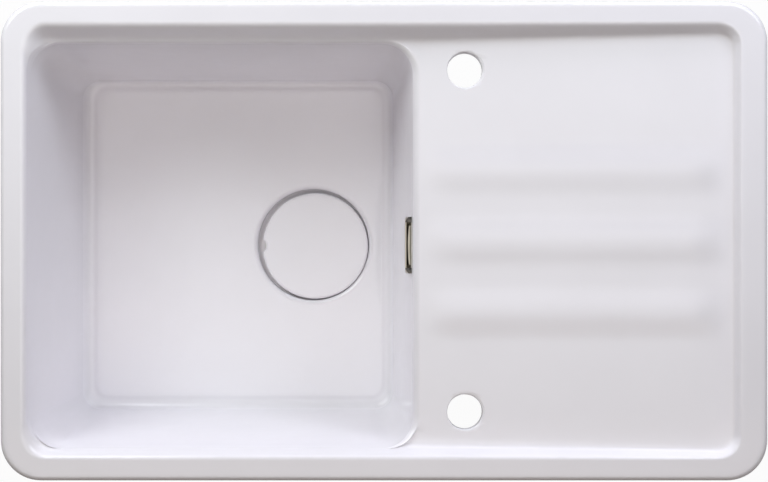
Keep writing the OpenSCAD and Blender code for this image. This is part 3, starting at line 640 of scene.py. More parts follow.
cover_rings = [cover_ring(0, BOWL_FLOOR_Z + rise, radius)
               for radius, rise in ((0.01, 0.25), (20, 0.23), (42, 0.12), (52, 0.03))]
for i in range(9):
    angle = radians(90 - 90 * i / 8)
    cover_rings.append(cover_ring(COVER_ROLL * (1 - cos(angle)),
                                  BOWL_FLOOR_Z - COVER_ROLL * (1 - sin(angle))))
for inwards, drop in ((0.0, 5.6), (0.3, 6.4), (1.4, COVER_T)):
    cover_rings.append(cover_ring(inwards, BOWL_FLOOR_Z - drop))
cover_rings += [cover_ring(0, BOWL_FLOOR_Z - COVER_T, radius) for radius in (50, 0.01)]
cover = smooth(drawn_out("glazed_cover", cover_rings), 38)
fitted(cover, glaze, "cover", "waste_cover")

# Overflow front
# A tray pressed from thin nickel-plated sheet, with chamfered ends, an upright face and a
# mouth along its top. It clips over the back plate's tabs, high on the bowl's right wall.
FRAME_L, FRAME_H, FRAME_D, SHEET, FRONT_SEAL = 60.0, 22.0, 7.2, 0.5, 0.4
CHAMFER_L, CHAMFER_D, MOUTH_L, TAPER, LIP_W, PRESS_R = 4.5, 3.4, 48.5, 2.5, 1.2, 0.5


def in_metres(piece):
    piece.data.transform(Matrix.Scale(MM, 4))
    return piece


def placed(piece, at, turn, axis):
    """Turns a piece about an axis, and moves it to a point given in millimetres."""
    piece.data.transform(Matrix.Translation(Vector(at) * MM) @ Matrix.Rotation(turn, 4, axis))
    return piece


def block(name, low, high):
    """A block between two corners in millimetres, left in edit mode with nothing selected."""
    deselect()
    bpy.ops.mesh.primitive_cube_add(size=1, location=[(a + b) / 2 for a, b in zip(low, high)])
    piece = bpy.context.object
    piece.name = name
    piece.scale = [b - a for a, b in zip(low, high)]
    bpy.ops.object.transform_apply(location=True, scale=True)
    bpy.ops.object.mode_set(mode="EDIT")
    bpy.ops.mesh.select_all(action="DESELECT")
    return piece


def pick(piece, kind, wanted):
    """Selects edges or faces, in edit mode, by a test of an edge's two ends, or of a face's
    middle and normal."""
    bpy.ops.mesh.select_mode(type=kind)
    bpy.ops.mesh.select_all(action="DESELECT")
    mesh = bmesh.from_edit_mesh(piece.data)
    for item in mesh.edges if kind == "EDGE" else mesh.faces:
        if kind == "EDGE":
            item.select = wanted(*[vert.co for vert in item.verts])
        else:
            item.select = wanted(item.calc_center_median(), item.normal)
    mesh.select_flush_mode()
    bmesh.update_edit_mesh(piece.data)


def eased(piece, width, segments=2, degrees=30):
    """Breaks a piece's sharp edges, as a press tool or a mould leaves them."""
    return smooth(applied(piece, "BEVEL", width=width, segments=segments, limit_method="ANGLE",
                          angle_limit=radians(degrees), use_clamp_overlap=True))


front = block("overflow_tray", (-FRAME_D, -FRAME_L / 2, -FRAME_H / 2),
              (-FRONT_SEAL, FRAME_L / 2, FRAME_H / 2))
pick(front, "EDGE", lambda a, b: abs(a.z - b.z) > 1 and max(a.x, b.x) < -FRAME_D + 0.1)
bpy.ops.mesh.bevel(offset=CHAMFER_D, segments=1)
mesh = bmesh.from_edit_mesh(front.data)
for vert in mesh.verts:
    if vert.co.x < -FRAME_D + 0.1:
        vert.co.y *= (FRAME_L / 2 - CHAMFER_L) / (FRAME_L / 2 - CHAMFER_D)
        vert.co.x += TAPER if vert.co.z < 0 else 0
for corner, normal in (((0, -MOUTH_L / 2, 0), (0, 1, 0)), ((0, MOUTH_L / 2, 0), (0, 1, 0)),
                       ((-FRAME_D + LIP_W, 0, 0), (1, 0, 0))):
    pick(front, "FACE", lambda c, n: n.z > 0.9)
    bpy.ops.mesh.bisect(plane_co=corner, plane_no=normal)
pick(front, "FACE", lambda c, n: n.x > 0.9 or (n.z > 0.9 and abs(c.y) < MOUTH_L / 2
                                               and c.x > -FRAME_D + LIP_W))
bpy.ops.mesh.delete(type="FACE")
pick(front, "EDGE", lambda a, b: max(a.x, b.x) < -FRONT_SEAL - 0.2
     and a.x + b.x < -2 * CHAMFER_D + 1
     and (max(a.z, b.z) < 0 or a.x + b.x < -2 * FRAME_D + 0.2 or abs(a.z - b.z) > 1))
bpy.ops.mesh.bevel(offset=PRESS_R, segments=3)
bpy.ops.object.mode_set(mode="OBJECT")
applied(front, "SOLIDIFY", thickness=SHEET, offset=-1)
eased(front, 0.12)
placed(in_metres(front), OVER_AT, WALL_LEAN, "Y")

trim, place, shader = finish("nickel_trim", linear(176, 170, 156), 0.35, 1.0)
brush = place.noise(900, 3, 0.6, (1, 0.03, 1))
worn = place.noise(45, 2, 0.5)
vary(shader, worn * 0.4 + brush * 0.6, linear(170, 164, 150), linear(182, 176, 163),
     0.24 + brush * 0.2, brush.bump(0.3, 0.0001))
fitted(front, trim, "root", "overflow_front")
# Painted dark reflection: the upward faces of the tray's closed ends get a much darker copy of the
# nickel. It stands in for the dim room that those faces would mirror, and a faint mottle varies its
# tone.
painted_dark_nickel, place, shader = finish("nickel_painted_dark_reflection", linear(92, 90, 87), 0.5, 1.0)
dark_reflection_mottle = place.noise(260, 4, 0.6)
vary(shader, dark_reflection_mottle, linear(70, 69, 67), linear(118, 115, 110),
     0.4 + dark_reflection_mottle * 0.25, low=0.35, high=0.65)
front.data.materials.append(painted_dark_nickel)
for face in front.data.polygons:
    if face.normal.z > 0.7 and abs(face.center.y / MM - WASTE[1]) > MOUTH_L / 2:
        face.material_index = 1

# Overflow baffle
# A bowed strip of the same sheet, folded back along its top and at its ends. It stands in
# the tray behind the mouth, held by its own spring, and hides the slot and the screws.
BAFFLE_CHORD, BAFFLE_BOW, BAFFLE_X, BAFFLE_BACK = 41.0, 1.1, -4.0, -1.5
deselect()
bpy.ops.mesh.primitive_grid_add(x_subdivisions=28, y_subdivisions=3, size=1)
baffle = bpy.context.object
baffle.name = "overflow_bowed_strip"
strip_low, strip_high = -FRAME_H / 2 + SHEET + 0.15, FRAME_H / 2 - 1.1
for vert in baffle.data.vertices:
    u, v = vert.co.x * 2, vert.co.y + 0.5
    vert.co = (BAFFLE_X + BAFFLE_BOW * u * u, u * BAFFLE_CHORD / 2,
               strip_low + v * (strip_high - strip_low))
bpy.ops.object.mode_set(mode="EDIT")
pick(baffle, "EDGE", lambda a, b: min(abs(a.y), abs(b.y)) > BAFFLE_CHORD / 2 - 0.01)
bpy.ops.mesh.extrude_region_move(TRANSFORM_OT_translate={"value": (1.1, 0, 0)})
pick(baffle, "EDGE", lambda a, b: min(a.z, b.z) > strip_high - 0.01 and a.x < -1.6 and b.x < -1.6)
bpy.ops.mesh.extrude_region_move(TRANSFORM_OT_translate={"value": (0.5, 0, 0)})
mesh = bmesh.from_edit_mesh(baffle.data)
for vert in mesh.verts:
    if vert.select:
        vert.co.x = BAFFLE_BACK
bpy.ops.mesh.select_all(action="SELECT")
bpy.ops.mesh.remove_doubles(threshold=0.01)
bpy.ops.mesh.normals_make_consistent(inside=False)
bpy.ops.object.mode_set(mode="OBJECT")
applied(baffle, "SOLIDIFY", thickness=SHEET, offset=0)
eased(baffle, 0.1)
placed(in_metres(baffle), OVER_AT, WALL_LEAN, "Y")
satin_trim, place, shader = finish("nickel_trim_light", linear(168, 164, 150), 0.42, 1.0)
brush = place.noise(900, 3, 0.6, (1, 0.03, 1))
vary(shader, place.noise(60, 3), linear(160, 155, 141), linear(178, 174, 162),
     0.34 + brush * 0.16, brush.bump(0.2, 0.00005))
fitted(baffle, satin_trim, "root", "overflow_baffle")

# Back plate and its thin seal
# A punched plate that two screws clamp to the glaze through a clear seal. Its tabs hold
# the tray. Both keep the shape of their solids.
clear, place, shader = finish("clear_seal", linear(205, 207, 208), 0.4, 0.0, Specular_IOR_Level=0.4)
haze = place.noise(240, 3, 0.6)
vary(shader, haze, linear(196, 198, 199), linear(214, 216, 217), 0.3 + haze * 0.25)


def clad(skin, *nodes):
    """Puts a material on nodes that keep their solids' shape."""
    for node in nodes:
        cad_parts[node].data.materials.clear()
        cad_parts[node].data.materials.append(skin)


clad(trim, "overflow_frame")
clad(clear, "overflow_seal")

# Overflow screws
# Two long steel screws with pan heads and cross recesses. They pass through the plate,
# the slot and the gasket, and draw the chamber behind the wall against the fireclay.
SCREW_Y, SCREW_R, HEAD_R, HEAD_T, SCREW_L = 17.0, 2.0, 3.5, 1.3, 29.0


def thread(radius, depth, pitch, low, high, points=64, per_turn=8, middle=(0.0, 0.0)):
    """Rings of a right-hand screw thread whose crests have that radius, run out at both ends."""
    rings = []
    count = max(2, round(abs(high - low) / pitch * per_turn))
    for k in range(count + 1):
        z = low + (high - low) * k / count
        run_out = min(1.0, abs(z - low) / pitch, abs(high - z) / pitch)
        ring = []
        for i in range(points):
            phase = (z / pitch - i / points) % 1.0
            groove = min(1.0, max(0.0, 3.2 * abs(phase - 0.5) - 0.3))
            r = radius - depth * (1 - groove * run_out)
            angle = 2 * pi * i / points
            ring.append((middle[0] + r * cos(angle), middle[1] + r * sin(angle), z))
        rings.append(ring)
    return rings


def copied(piece, name):
    """A copy that has a mesh of its own."""
    copy = piece.copy()
    copy.data, copy.name = piece.data.copy(), name
    bpy.context.scene.collection.objects.link(copy)
    return copy


def joined(pieces, name):
    """Several meshes as one object."""
    deselect()
    for piece in pieces:
        piece.select_set(True)
    bpy.context.view_layer.objects.active = pieces[0]
    bpy.ops.object.join()
    pieces[0].name = name
    return pieces[0]


def cross_cutter(size, low, high, wide):
    """Two crossed blocks for a recess or a slot, in metres."""
    arms = []
    for turn in (0, 90):
        arm = block("recess_arm", (-size, -wide / 2, low), (size, wide / 2, high))
        bpy.ops.object.mode_set(mode="OBJECT")
        arm.data.transform(Matrix.Rotation(radians(turn), 4, "Z") @ Matrix.Scale(MM, 4))
        arms.append(arm)
    return arms


head = near(0, -HEAD_T, (0, 0), (1.6, 0), (2.6, 0.12), (3.2, 0.4), (HEAD_R, 0.8))
head += near(HEAD_R, 0, (0, -0.1), (-0.1, 0)) + near(SCREW_R, 0, (0, 0), (-0.02, 1))
shank = thread(SCREW_R, 0.35, 0.8, 1.2, SCREW_L - 0.8, 24, 6)
tip = lathe([(1.3, SCREW_L - 0.3), (0, SCREW_L)], 24)
screw = drawn_out("overflow_screw", lathe(head, 24) + shank + tip)
for arm in cross_cutter(1.7, -HEAD_T - 0.3, -HEAD_T + 0.7, 0.7):
    cut_from(screw, arm)
screws = []
for side in (-1, 1):
    copy = placed(copied(screw, "overflow_screw_copy"),
                  (-SHEET - FRONT_SEAL, side * SCREW_Y, 0), pi / 2, "Y")
    screws.append(placed(copy, SLOT_AT, WALL_LEAN, "Y"))
bpy.data.objects.remove(screw)
screws = smooth(joined(screws, "overflow_screw_pair"), 30)
steel, place, shader = finish("bright_steel", (0.62, 0.62, 0.61, 1), 0.28, 1.0)
wear = place.noise(500, 3, 0.6)
vary(shader, wear, (0.56, 0.56, 0.55, 1), (0.68, 0.68, 0.67, 1),
     0.18 + wear * 0.22, wear.bump(0.15, 0.00003))
fitted(screws, steel, "root", "overflow_screws")

# Overflow gasket
# A foam frame between the fireclay and the chamber. It keeps its solid's shape.
foam, place, shader = finish("cell_foam", (0.03, 0.03, 0.032, 1), 0.9)
cells = place.node("ShaderNodeTexVoronoi", {"feature": "F1"}, {"Vector": place, "Scale": 1600.0})
plug(shader, "Base Color", cells.mix((0.045, 0.045, 0.048, 1), (0.012, 0.012, 0.013, 1)))
plug(shader, "Normal", cells.bump(0.8, 0.0003))
clad(foam, "overflow_gasket")

# Overflow chamber
# A box moulded in grey polypropylene with a flange, four ribs and a threaded spigot that
# points down. The two screws reach into it through the wall.
BACK_X, CHAMBER_D, CHAMBER_L, CHAMBER_H, EAR_W, WALL_T = 15.0, 30.0, 52.0, 18.0, 7.0, 3.0
UNION_R, PIPE_BORE, SPIGOT_L, PITCH_34 = 13.2, 9.0, 14.0, 1.814
PIPE_X = BACK_X + CHAMBER_D - UNION_R - 0.3
ELBOW_LOW = -CHAMBER_H / 2 - SPIGOT_L


def rounded_block(name, low, high, corner, axis, easing):
    """A block whose edges along one axis are round, with its other edges broken."""
    piece = block(name, low, high)
    pick(piece, "EDGE", lambda a, b: abs(a[axis] - b[axis]) > 0.5 * (high[axis] - low[axis]))
    bpy.ops.mesh.bevel(offset=corner, segments=6)
    bpy.ops.object.mode_set(mode="OBJECT")
    if easing:
        applied(piece, "BEVEL", width=easing, segments=2, limit_method="ANGLE",
                angle_limit=radians(50))
    return in_metres(piece)


def added_to(piece, other):
    """Fuses another mesh to a piece, and takes the other away."""
    applied(piece, "BOOLEAN", object=other, operation="UNION", solver="EXACT")
    bpy.data.objects.remove(other)
    return piece


def spigot_rings(root, start, end, middle=(0.0, 0.0)):
    """A solid stub with a thread, from profile points at its root to its free end."""
    way = copysign(1, end - start)
    return (lathe(root, 48, middle)
            + thread(UNION_R, 1.1, PITCH_34, start, end - 0.6 * way, 48, 8, middle)
            + lathe([(11.4, end), (0, end)], 48, middle))


wide, tall = CHAMBER_L / 2, CHAMBER_H / 2
elbow = rounded_block("overflow_chamber", (BACK_X, -wide, -tall),
                      (BACK_X + CHAMBER_D, wide, tall), 2.5, 0, 0.8)
flange = rounded_block("flange", (BACK_X, -wide - EAR_W, -tall - WALL_T),
                       (BACK_X + WALL_T, wide + EAR_W, tall + WALL_T), 4, 0, 0.5)
added_to(elbow, flange)
for y in (-19, -7, 7, 19):
    added_to(elbow, rounded_block("rib", (BACK_X + 1, y - 0.9, tall - 1),
                                  (BACK_X + 13, y + 0.9, tall + 2.2), 0.3, 0, 0))
pipe_at = (PIPE_X, 0.0)
added_to(elbow, drawn_out("spigot", spigot_rings([(0, 0.0), (13.0, 0.0), (13.2, -tall)],
                                                 -tall - 1.2, ELBOW_LOW, pipe_at)))
cut_from(elbow, rounded_block("cavity", (BACK_X - 1, -wide + WALL_T, -tall + WALL_T),
                              (BACK_X + CHAMBER_D - WALL_T, wide - WALL_T, tall - WALL_T),
                              1.5, 0, 0))
bore = [(0, -3.0), (PIPE_BORE, -3.0)] + near(PIPE_BORE, ELBOW_LOW, (0, 0.6), (0.8, -0.2), (0.8, -2))
cut_from(elbow, drawn_out("bore", lathe(bore + [(0, ELBOW_LOW - 2)], 48, pipe_at)))
placed(elbow, SLOT_AT, WALL_LEAN, "Y")
smooth(elbow, 35)

plastic, place, shader = finish("moulded_polypropylene", linear(214, 216, 218), 0.42)
orange_peel = place.noise(1400, 2, 0.5)
flow = place.noise(26, 3, 0.55)
vary(shader, flow, linear(208, 210, 212), linear(219, 221, 223),
     0.34 + orange_peel * 0.14, (orange_peel + flow * 2).bump(0.25, 0.00012))
fitted(elbow, plastic, "root", "overflow_elbow")

# Overflow hose
# A blown polypropylene pipe whose ribs let it bend, with a plain cuff and a flat collar at
# each end. It runs down behind the bowl's wall, round a bend and along to the waste body.
SPIGOT_END, SPIGOT_Z, WASHER_T = -21.0, -218.2, 2.0
HOSE_R, HOSE_ROOT, HOSE_BORE, RIB_PITCH, BEND_R, COLLAR_R = 11.5, 10.0, 8.5, 4.0, 46.0, 12.7
CUFF_L, COLLAR_L = 22.0, 2.0
hose_top = into_wall(PIPE_X, 0, ELBOW_LOW - WASHER_T)[::2]
hose_end = (SPIGOT_END + WASHER_T, SPIGOT_Z)
tangent_l = BEND_R * tan(UPRIGHT / 2)
meet_l = (hose_top[1] - hose_end[1]) / cos_lean
meet_x = hose_top[0] - meet_l * sin_lean
down_l, bend_l = meet_l - tangent_l, BEND_R * UPRIGHT
along_l = meet_x - tangent_l - hose_end[0]
hose_l = down_l + bend_l + along_l


def hose_frame(along):
    """The hose's centre line at a distance from its top: x, z, and how far it has turned."""
    turn = WALL_LEAN + min(max(along - down_l, 0), bend_l) / BEND_R
    if along < down_l:
        return hose_top[0] - along * sin_lean, hose_top[1] - along * cos_lean, turn
    if along < down_l + bend_l:
        return (meet_x - tangent_l + BEND_R * cos(turn),
                SPIGOT_Z + BEND_R - BEND_R * sin(turn), turn)
    return meet_x - tangent_l - (along - down_l - bend_l), SPIGOT_Z, turn


rib_count = int((hose_l - 2 * CUFF_L) / RIB_PITCH)
first_rib = (hose_l - rib_count * RIB_PITCH) / 2
section = [(0.0, COLLAR_R - 0.3), (0.3, COLLAR_R), (COLLAR_L - 0.3, COLLAR_R),
           (COLLAR_L, COLLAR_R - 0.3), (COLLAR_L + 0.1, HOSE_ROOT + 0.3),
           (COLLAR_L + 0.5, HOSE_ROOT), (first_rib, HOSE_ROOT)]
for k in range(rib_count):
    for i in range(1, 9):
        wave = (1 - cos(2 * pi * i / 8)) / 2
        section.append((first_rib + (k + i / 8) * RIB_PITCH,
                        HOSE_ROOT + (HOSE_R - HOSE_ROOT) * wave ** 0.7))
section += [(hose_l - along, r) for along, r in reversed(section[:6])]
section += [(hose_l * (1 - k / 48), HOSE_BORE) for k in range(49)]
hose_rings, round_turns = [], [2 * pi * i / 32 for i in range(32)]
for along, radius in section:
    x, z, turn = hose_frame(along)
    hose_rings.append([(x + radius * cos(t) * cos(turn),
                        WASTE[1] + radius * sin(t),
                        z - radius * cos(t) * sin(turn)) for t in round_turns])
hose = smooth(drawn_out("overflow_ribbed_pipe", hose_rings, closed=True, weld=False), 50)
soft_plastic, place, shader = finish("blown_polypropylene", linear(226, 228, 230), 0.46)
film = place.noise(55, 3, 0.5)
vary(shader, film, linear(218, 220, 223), linear(231, 233, 235),
     0.38 + film * 0.16, place.noise(900, 2, 0.5).bump(0.2, 0.0001))
fitted(hose, soft_plastic, "root", "overflow_hose")

# Hose nuts
# Two moulded union nuts with fourteen finger grips. Each runs on a spigot's thread and
# draws the hose's collar against a flat washer.
NUT_L, NUT_R, GRIPS = 17.0, 16.2, 14
NUT_SHOULDER = WASHER_T + 2.4
NUT_LOW = NUT_SHOULDER + 3 - NUT_L


def nut_rings(points=112):
    rings = []
    top = NUT_LOW + NUT_L
    outside = [(NUT_LOW, -0.8), (NUT_LOW + 0.25, -0.25), (NUT_LOW + 0.8, 0.0)]
    outside += [(NUT_LOW + NUT_L * k / 8, 0.0) for k in range(1, 8)]
    outside += [(top - 1.0, 0.0), (top - 0.35, -0.3), (top, -1.1)]
    for z, ease in outside:
        grip = min(1.0, max(0.0, (z - NUT_LOW - 0.9) / 0.8), max(0.0, (top - 1.0 - z) / 0.8))
        ring = []
        for i in range(points):
            angle = 2 * pi * i / points
            ridge = max(0.0, 2.2 * cos(GRIPS * angle) - 1.2) ** 0.5
            r = NUT_R + ease + grip * ridge
            ring.append((r * cos(angle), r * sin(angle), z))
        rings.append(ring)
    inside = near(HOSE_ROOT, top, (0.8, 0), (0.6, -0.3))
    inside += [(HOSE_ROOT + 0.6, NUT_SHOULDER), (UNION_R + 0.15, NUT_SHOULDER)]
    rings += lathe(inside, points)
    rings += thread(UNION_R + 0.85, 0.7, PITCH_34, NUT_SHOULDER - 1, NUT_LOW + 0.8, points, 6)
    rings += lathe([(UNION_R + 0.6, NUT_LOW)], points)
    return rings


nut = smooth(drawn_out("hose_nut", nut_rings(), closed=True), 40)
nut_grey, place, shader = finish("moulded_nut_plastic", linear(196, 199, 202), 0.45)
fleck = place.noise(1100, 2, 0.5)
vary(shader, place.noise(40, 2), linear(188, 191, 195), linear(203, 206, 209),
     0.38 + fleck * 0.15, fleck.bump(0.3, 0.0001))
for name, over, at, lean in (
        ("upper_hose_nut", pi, into_wall(PIPE_X, 0, ELBOW_LOW), WALL_LEAN),
        ("lower_hose_nut", 0, (SPIGOT_END, WASTE[1], SPIGOT_Z), pi / 2)):
    copy = placed(copied(nut, name + "_moulded"), (0, 0, 0), over, "X")
    fitted(placed(copy, at, lean, "Y"), nut_grey, "root", name)
bpy.data.objects.remove(nut)

# Waste body
# A pot moulded in white polypropylene that is drawn up against the fireclay's underside.
# Twelve ribs stiffen its side, a four-armed spider inside holds the screw's insert, and it
# ends in the trap's thread. The overflow enters by the threaded spigot.
FLANGE_R, BODY_R, BODY_IN_R, OUTLET_R, OUTLET_BORE = 57.0, 48.0, 45.0, 23.9, 19.9
BODY_Z, BODY_LOW, OUTLET_Z, PITCH_112 = -196.0, -242.0, -266.0, 2.309
INSERT_Z, INSERT_L = -236.0, 14.0
inside = near(OUTLET_BORE, OUTLET_Z, (0.5, 0), (0, 0.5))
inside += near(OUTLET_BORE, BODY_LOW, (0, 4), (0.8, 5))
inside += near(BODY_IN_R, BODY_LOW, (-7.8, 8.8), (-4.5, 10), (-1.2, 11.8), (0, 14.5))
inside += near(BODY_IN_R, BODY_Z, (0, -0.5), (0.5, 0))
outside = near(FLANGE_R, BODY_Z, (-0.6, 0), (0, -0.6), (0, -3.4), (-0.6, -4))
outside += near(BODY_R, BODY_Z, (2, -4), (0.6, -4.5), (0, -6))
outside += near(BODY_R, BODY_LOW, (0, 13.5), (-1, 10.8), (-3.6, 8.4), (-8, 6.3))
outside += near(OUTLET_R, BODY_LOW, (6, 3.2), (2.6, 2), (2, 1.4), (2, 0.4), (1.6, 0), (0, 0))
outlet = thread(OUTLET_R, 1.3, PITCH_112, BODY_LOW - 0.8, OUTLET_Z + 1.2, 96, 8, WASTE)
outlet += lathe(near(OUTLET_R, OUTLET_Z, (-1.5, 0.3), (-1.9, 0)), 96, WASTE)
pot = drawn_out("waste_pot", lathe(inside + outside, 96, WASTE) + outlet, closed=True)
body_ribs = []
for k in range(12):
    rib = rounded_block("rib", (BODY_R - 1.4, -1, BODY_LOW + 16), (BODY_R + 3, 1, BODY_Z - 3.2),
                        0.5, 2, 0)
    body_ribs.append(placed(rib, (*WASTE, 0), radians(30 * k + 15), "Z"))
added_to(pot, joined(body_ribs, "ribs"))
arm_low, arm_high = INSERT_Z + 0.02, INSERT_Z + INSERT_L - 0.02
arms = []
for k in range(4):
    arm = rounded_block("spider_arm", (8.5, -1.25, arm_low), (BODY_IN_R - 6.4, 1.25, arm_high),
                        0.4, 0, 0)
    arms.append(placed(arm, (*WASTE, 0), radians(45 + 90 * k), "Z"))
added_to(pot, joined(arms, "spider_arms"))
hub = near(0, INSERT_Z, (6, 0.2), (6.2, 0), (9.2, 0), (9.5, 0.3))
hub += near(0, INSERT_Z + INSERT_L, (9.5, -0.3), (9.2, 0), (6.2, 0), (6, -0.2))
added_to(pot, drawn_out("hub", lathe(hub, 48, WASTE), closed=True))
REACH = SPIGOT_END - WASTE[0]
spigot_root = near(0, BODY_IN_R + 1, (0, 0), (UNION_R, 0)) + [(UNION_R, BODY_R + 0.6)]
spigot = drawn_out("spigot", spigot_rings(spigot_root, BODY_R + 0.8, REACH))
added_to(pot, placed(spigot, (*WASTE, SPIGOT_Z), pi / 2, "Y"))
bore = near(0, BODY_IN_R - 4, (0, 0), (PIPE_BORE, 0))
bore += near(PIPE_BORE, REACH, (0, -0.5), (0.7, 0.2), (0.7, 2)) + [(0, REACH + 2)]
bore = drawn_out("bore", lathe(bore, 48))
cut_from(pot, placed(bore, (*WASTE, SPIGOT_Z), pi / 2, "Y"))
smooth(pot, 35)
white_plastic, place, shader = finish("white_moulding", linear(224, 226, 227), 0.4)
peel = place.noise(1200, 2, 0.5)
flow = place.noise(22, 3, 0.55)
vary(shader, flow, linear(217, 219, 220), linear(229, 231, 232),
     0.32 + peel * 0.16, (peel + flow * 2).bump(0.25, 0.00012))
fitted(pot, white_plastic, "root", "waste_body")

# Screw insert
# A brass bush moulded into the spider. It keeps its solid's shape.
brass, place, shader = finish("turned_brass", (0.72, 0.52, 0.24, 1), 0.32, 1.0)
turning = place.noise(1500, 2, 0.5, (0.05, 0.05, 1))
vary(shader, place.noise(180, 3), (0.62, 0.43, 0.18, 1), (0.78, 0.58, 0.29, 1),
     0.24 + turning * 0.2, turning.bump(0.3, 0.00004))
clad(brass, "screw_insert")

# Strainer flange
# A cup pressed from stainless sheet. Its rim lies in the recess on a gasket, its floor has
# eight drain holes round the screw, and its edge is rolled.
FLANGE_Z, STEEL_T, CUP_R, CUP_LOW_R = -180.0, 1.2, 41.0, 26.0
CUP_Z, SEAT_Z, CONE_Z = -214.0, -210.0, -200.0
sheet = [(0, CUP_Z)] + near(CUP_LOW_R, CUP_Z, (0.4, 0), (1.4, 0.5))
sheet += near(CUP_LOW_R, SEAT_Z, (2.2, -STEEL_T))
sheet += near(CUP_R, CONE_Z, (-0.8, -2), (0.7, -0.8), (STEEL_T, 1))
sheet += near(CUP_R + STEEL_T, FLANGE_Z, (0, -2), (0.5, -0.6), (1.7, 0))
sheet += near(FLANGE_R, FLANGE_Z, (-0.5, 0), (0, 0.4), (0, 0.8), (-0.4, STEEL_T), (-2, STEEL_T))
sheet += near(CUP_R, FLANGE_Z, (2.2, STEEL_T), (0.9, 0.8), (0.2, 0), (0, -1.2))
sheet += near(CUP_R, CONE_Z, (0, 0.6), (-0.5, -0.2)) + near(CUP_LOW_R, SEAT_Z, (1, 0), (0.2, -1.6))
sheet += near(CUP_LOW_R, CUP_Z, (-0.8, STEEL_T)) + [(0, CUP_Z + STEEL_T)]
cup = drawn_out("pressed_strainer_cup", lathe(sheet, 128, WASTE))
SCREW_HOLE_R, DRAIN_R, DRAIN_AT = 4.15, 5, 18.2
punches = [(*WASTE, SCREW_HOLE_R)]
for k in range(8):
    turn = radians(45 * k)
    punches.append((WASTE[0] + DRAIN_AT * cos(turn), WASTE[1] + DRAIN_AT * sin(turn),
                    DRAIN_R))
holes = [drawn_out("hole", lathe(near(0, CUP_Z, (0, -1), (r, -1), (r, 3), (0, 3)), 32, (x, y)))
         for x, y, r in punches]
cut_from(cup, joined(holes, "holes"))
smooth(cup, 35)


def spun_steel(name, base, low_rough, high_rough):
    """Steel polished on a lathe: fine rings about the waste's axis, with faint smears."""
    made, place, shader = finish(name, (*base, 1), low_rough, 1.0)
    centred = place.node("ShaderNodeMapping", None, {
        "Vector": place, "Location": (-WASTE[0] * MM, -WASTE[1] * MM, 0.0)})
    across = centred.node("ShaderNodeSeparateXYZ", None, {0: centred})
    far = (across * across + across.output("Y") ** 2.0) ** 0.5
    rings_at = centred.node("ShaderNodeCombineXYZ", None, {0: far, 1: across.output("Z"), 2: 0.0})
    rings_here = rings_at.noise(1800, 2, 0.6)
    smear = place.noise(35, 3, 0.6)
    vary(shader, smear, (*[v * 0.97 for v in base], 1), (*[v * 1.04 for v in base], 1),
         low_rough + rings_here * (high_rough - low_rough) + smear * 0.06,
         rings_here.bump(0.2, 0.00003))
    return made


cup_steel = spun_steel("spun_stainless", (0.62, 0.62, 0.61), 0.2, 0.4)
fitted(cup, cup_steel, "root", "strainer_flange")

# Flat gaskets
# Two rubber rings, one above the fireclay under the steel rim and one below it over the
# waste body. They keep their solids' shape, as do the hose washers.
rubber, place, shader = finish("black_rubber", (0.028, 0.028, 0.03, 1), 0.62)
dust = place.noise(380, 4, 0.6)
vary(shader, dust, (0.02, 0.02, 0.021, 1), (0.05, 0.05, 0.052, 1),
     0.5 + dust * 0.28, dust.bump(0.3, 0.0001), low=0.45, high=0.8)
clad(rubber, "flange_gasket", "lower_gasket", "upper_hose_washer", "lower_hose_washer")

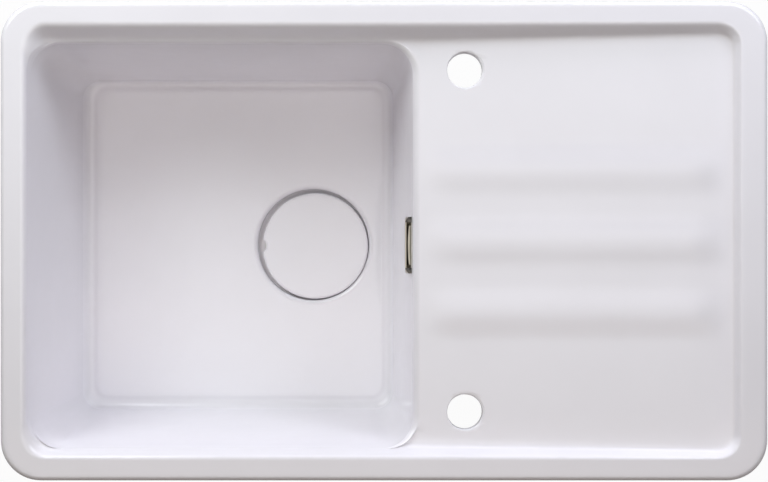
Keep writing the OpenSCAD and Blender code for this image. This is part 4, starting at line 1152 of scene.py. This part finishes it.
# Clamping screw
# A stainless screw with a slotted, hollow head. Its thread pulls the waste body up, and
# its head guides the basket's stem.
HEAD_H, CLAMP_HEAD_R, CLAMP_R, STEM_R = 7.0, 10.0, 4.0, 3.0
head_low, head_top = CUP_Z + STEEL_T, CUP_Z + STEEL_T + HEAD_H
tip = lathe([(0, INSERT_Z - 4), (3.0, INSERT_Z - 4)], 48, WASTE)
shank = thread(CLAMP_R, 0.6, 1.25, INSERT_Z - 3.4, head_low - 0.8, 48, 8, WASTE)
head = [(CLAMP_R, head_low)] + near(CLAMP_HEAD_R, head_low, (-0.4, 0), (0, 0.4))
head += near(CLAMP_HEAD_R, head_top, (0, -1), (-0.35, -0.3), (-1.1, 0))
head += near(STEM_R, head_top, (0.8, 0), (0.4, -0.4), (0.4, -5.5)) + [(0, head_top - 5.5)]
clamp = drawn_out("clamping_screw", tip + shank + lathe(head, 48, WASTE))
for arm in cross_cutter(12, head_top - 2, head_top + 1, 2.5):
    cut_from(clamp, placed(arm, (*WASTE, 0), 0, "Z"))
smooth(clamp, 30)
bright = spun_steel("turned_stainless", (0.66, 0.66, 0.65), 0.14, 0.32)
fitted(clamp, bright, "root", "clamp_screw")

# Strainer basket
# A small cup punched from polished stainless sheet, with a rolled rim, twenty holes round
# its side and twelve in its floor. It keeps its solid's shape and lifts straight out.
clad(bright, "basket")
clad(rubber, "basket_seal")

# Basket knob
# A turned knob and stem of black plastic. Fingers lift the basket by it, and the stem
# holds the basket up or lets it drop to close the waste.
KNOB_R, BASKET_TOP, BASKET_LOW = 10.0, -179.0, -202.0
stem = near(STEM_R, head_top, (-STEM_R, -4.5), (-1, -4.5), (-0.2, -3.6), (0, -3))
stem += near(0, BASKET_LOW, (STEM_R, 1), (4.8, 1), (5, 1.2), (5, 2.8), (4.5, 3.8), (3.6, 5.2),
             (3.5, 7))
grip = near(0, BASKET_TOP, (3.5, -8.2), (4.4, -7.4), (7.6, -6), (9.4, -5), (KNOB_R, -4.2),
            (KNOB_R, -2.8), (9.5, -1.8), (8.2, -1.1), (6, -0.8), (0, -0.65))
knob = smooth(drawn_out("turned_basket_knob", lathe(stem + grip, 64, WASTE)), 50)
gloss, place, shader = finish("black_gloss_plastic", (0.02, 0.02, 0.022, 1), 0.22)
scuff = place.noise(700, 4, 0.7)
vary(shader, scuff, (0.017, 0.017, 0.019, 1), (0.034, 0.034, 0.036, 1),
     0.16 + scuff * 0.22, low=0.5, high=0.8)
fitted(knob, gloss, "basket", "basket_knob")

# Cover feet
# Three rubber studs pressed into the cover's underside, which hold it clear of the steel
# so that water runs in under it. They keep their solids' shape.
clad(rubber, "cover_feet")
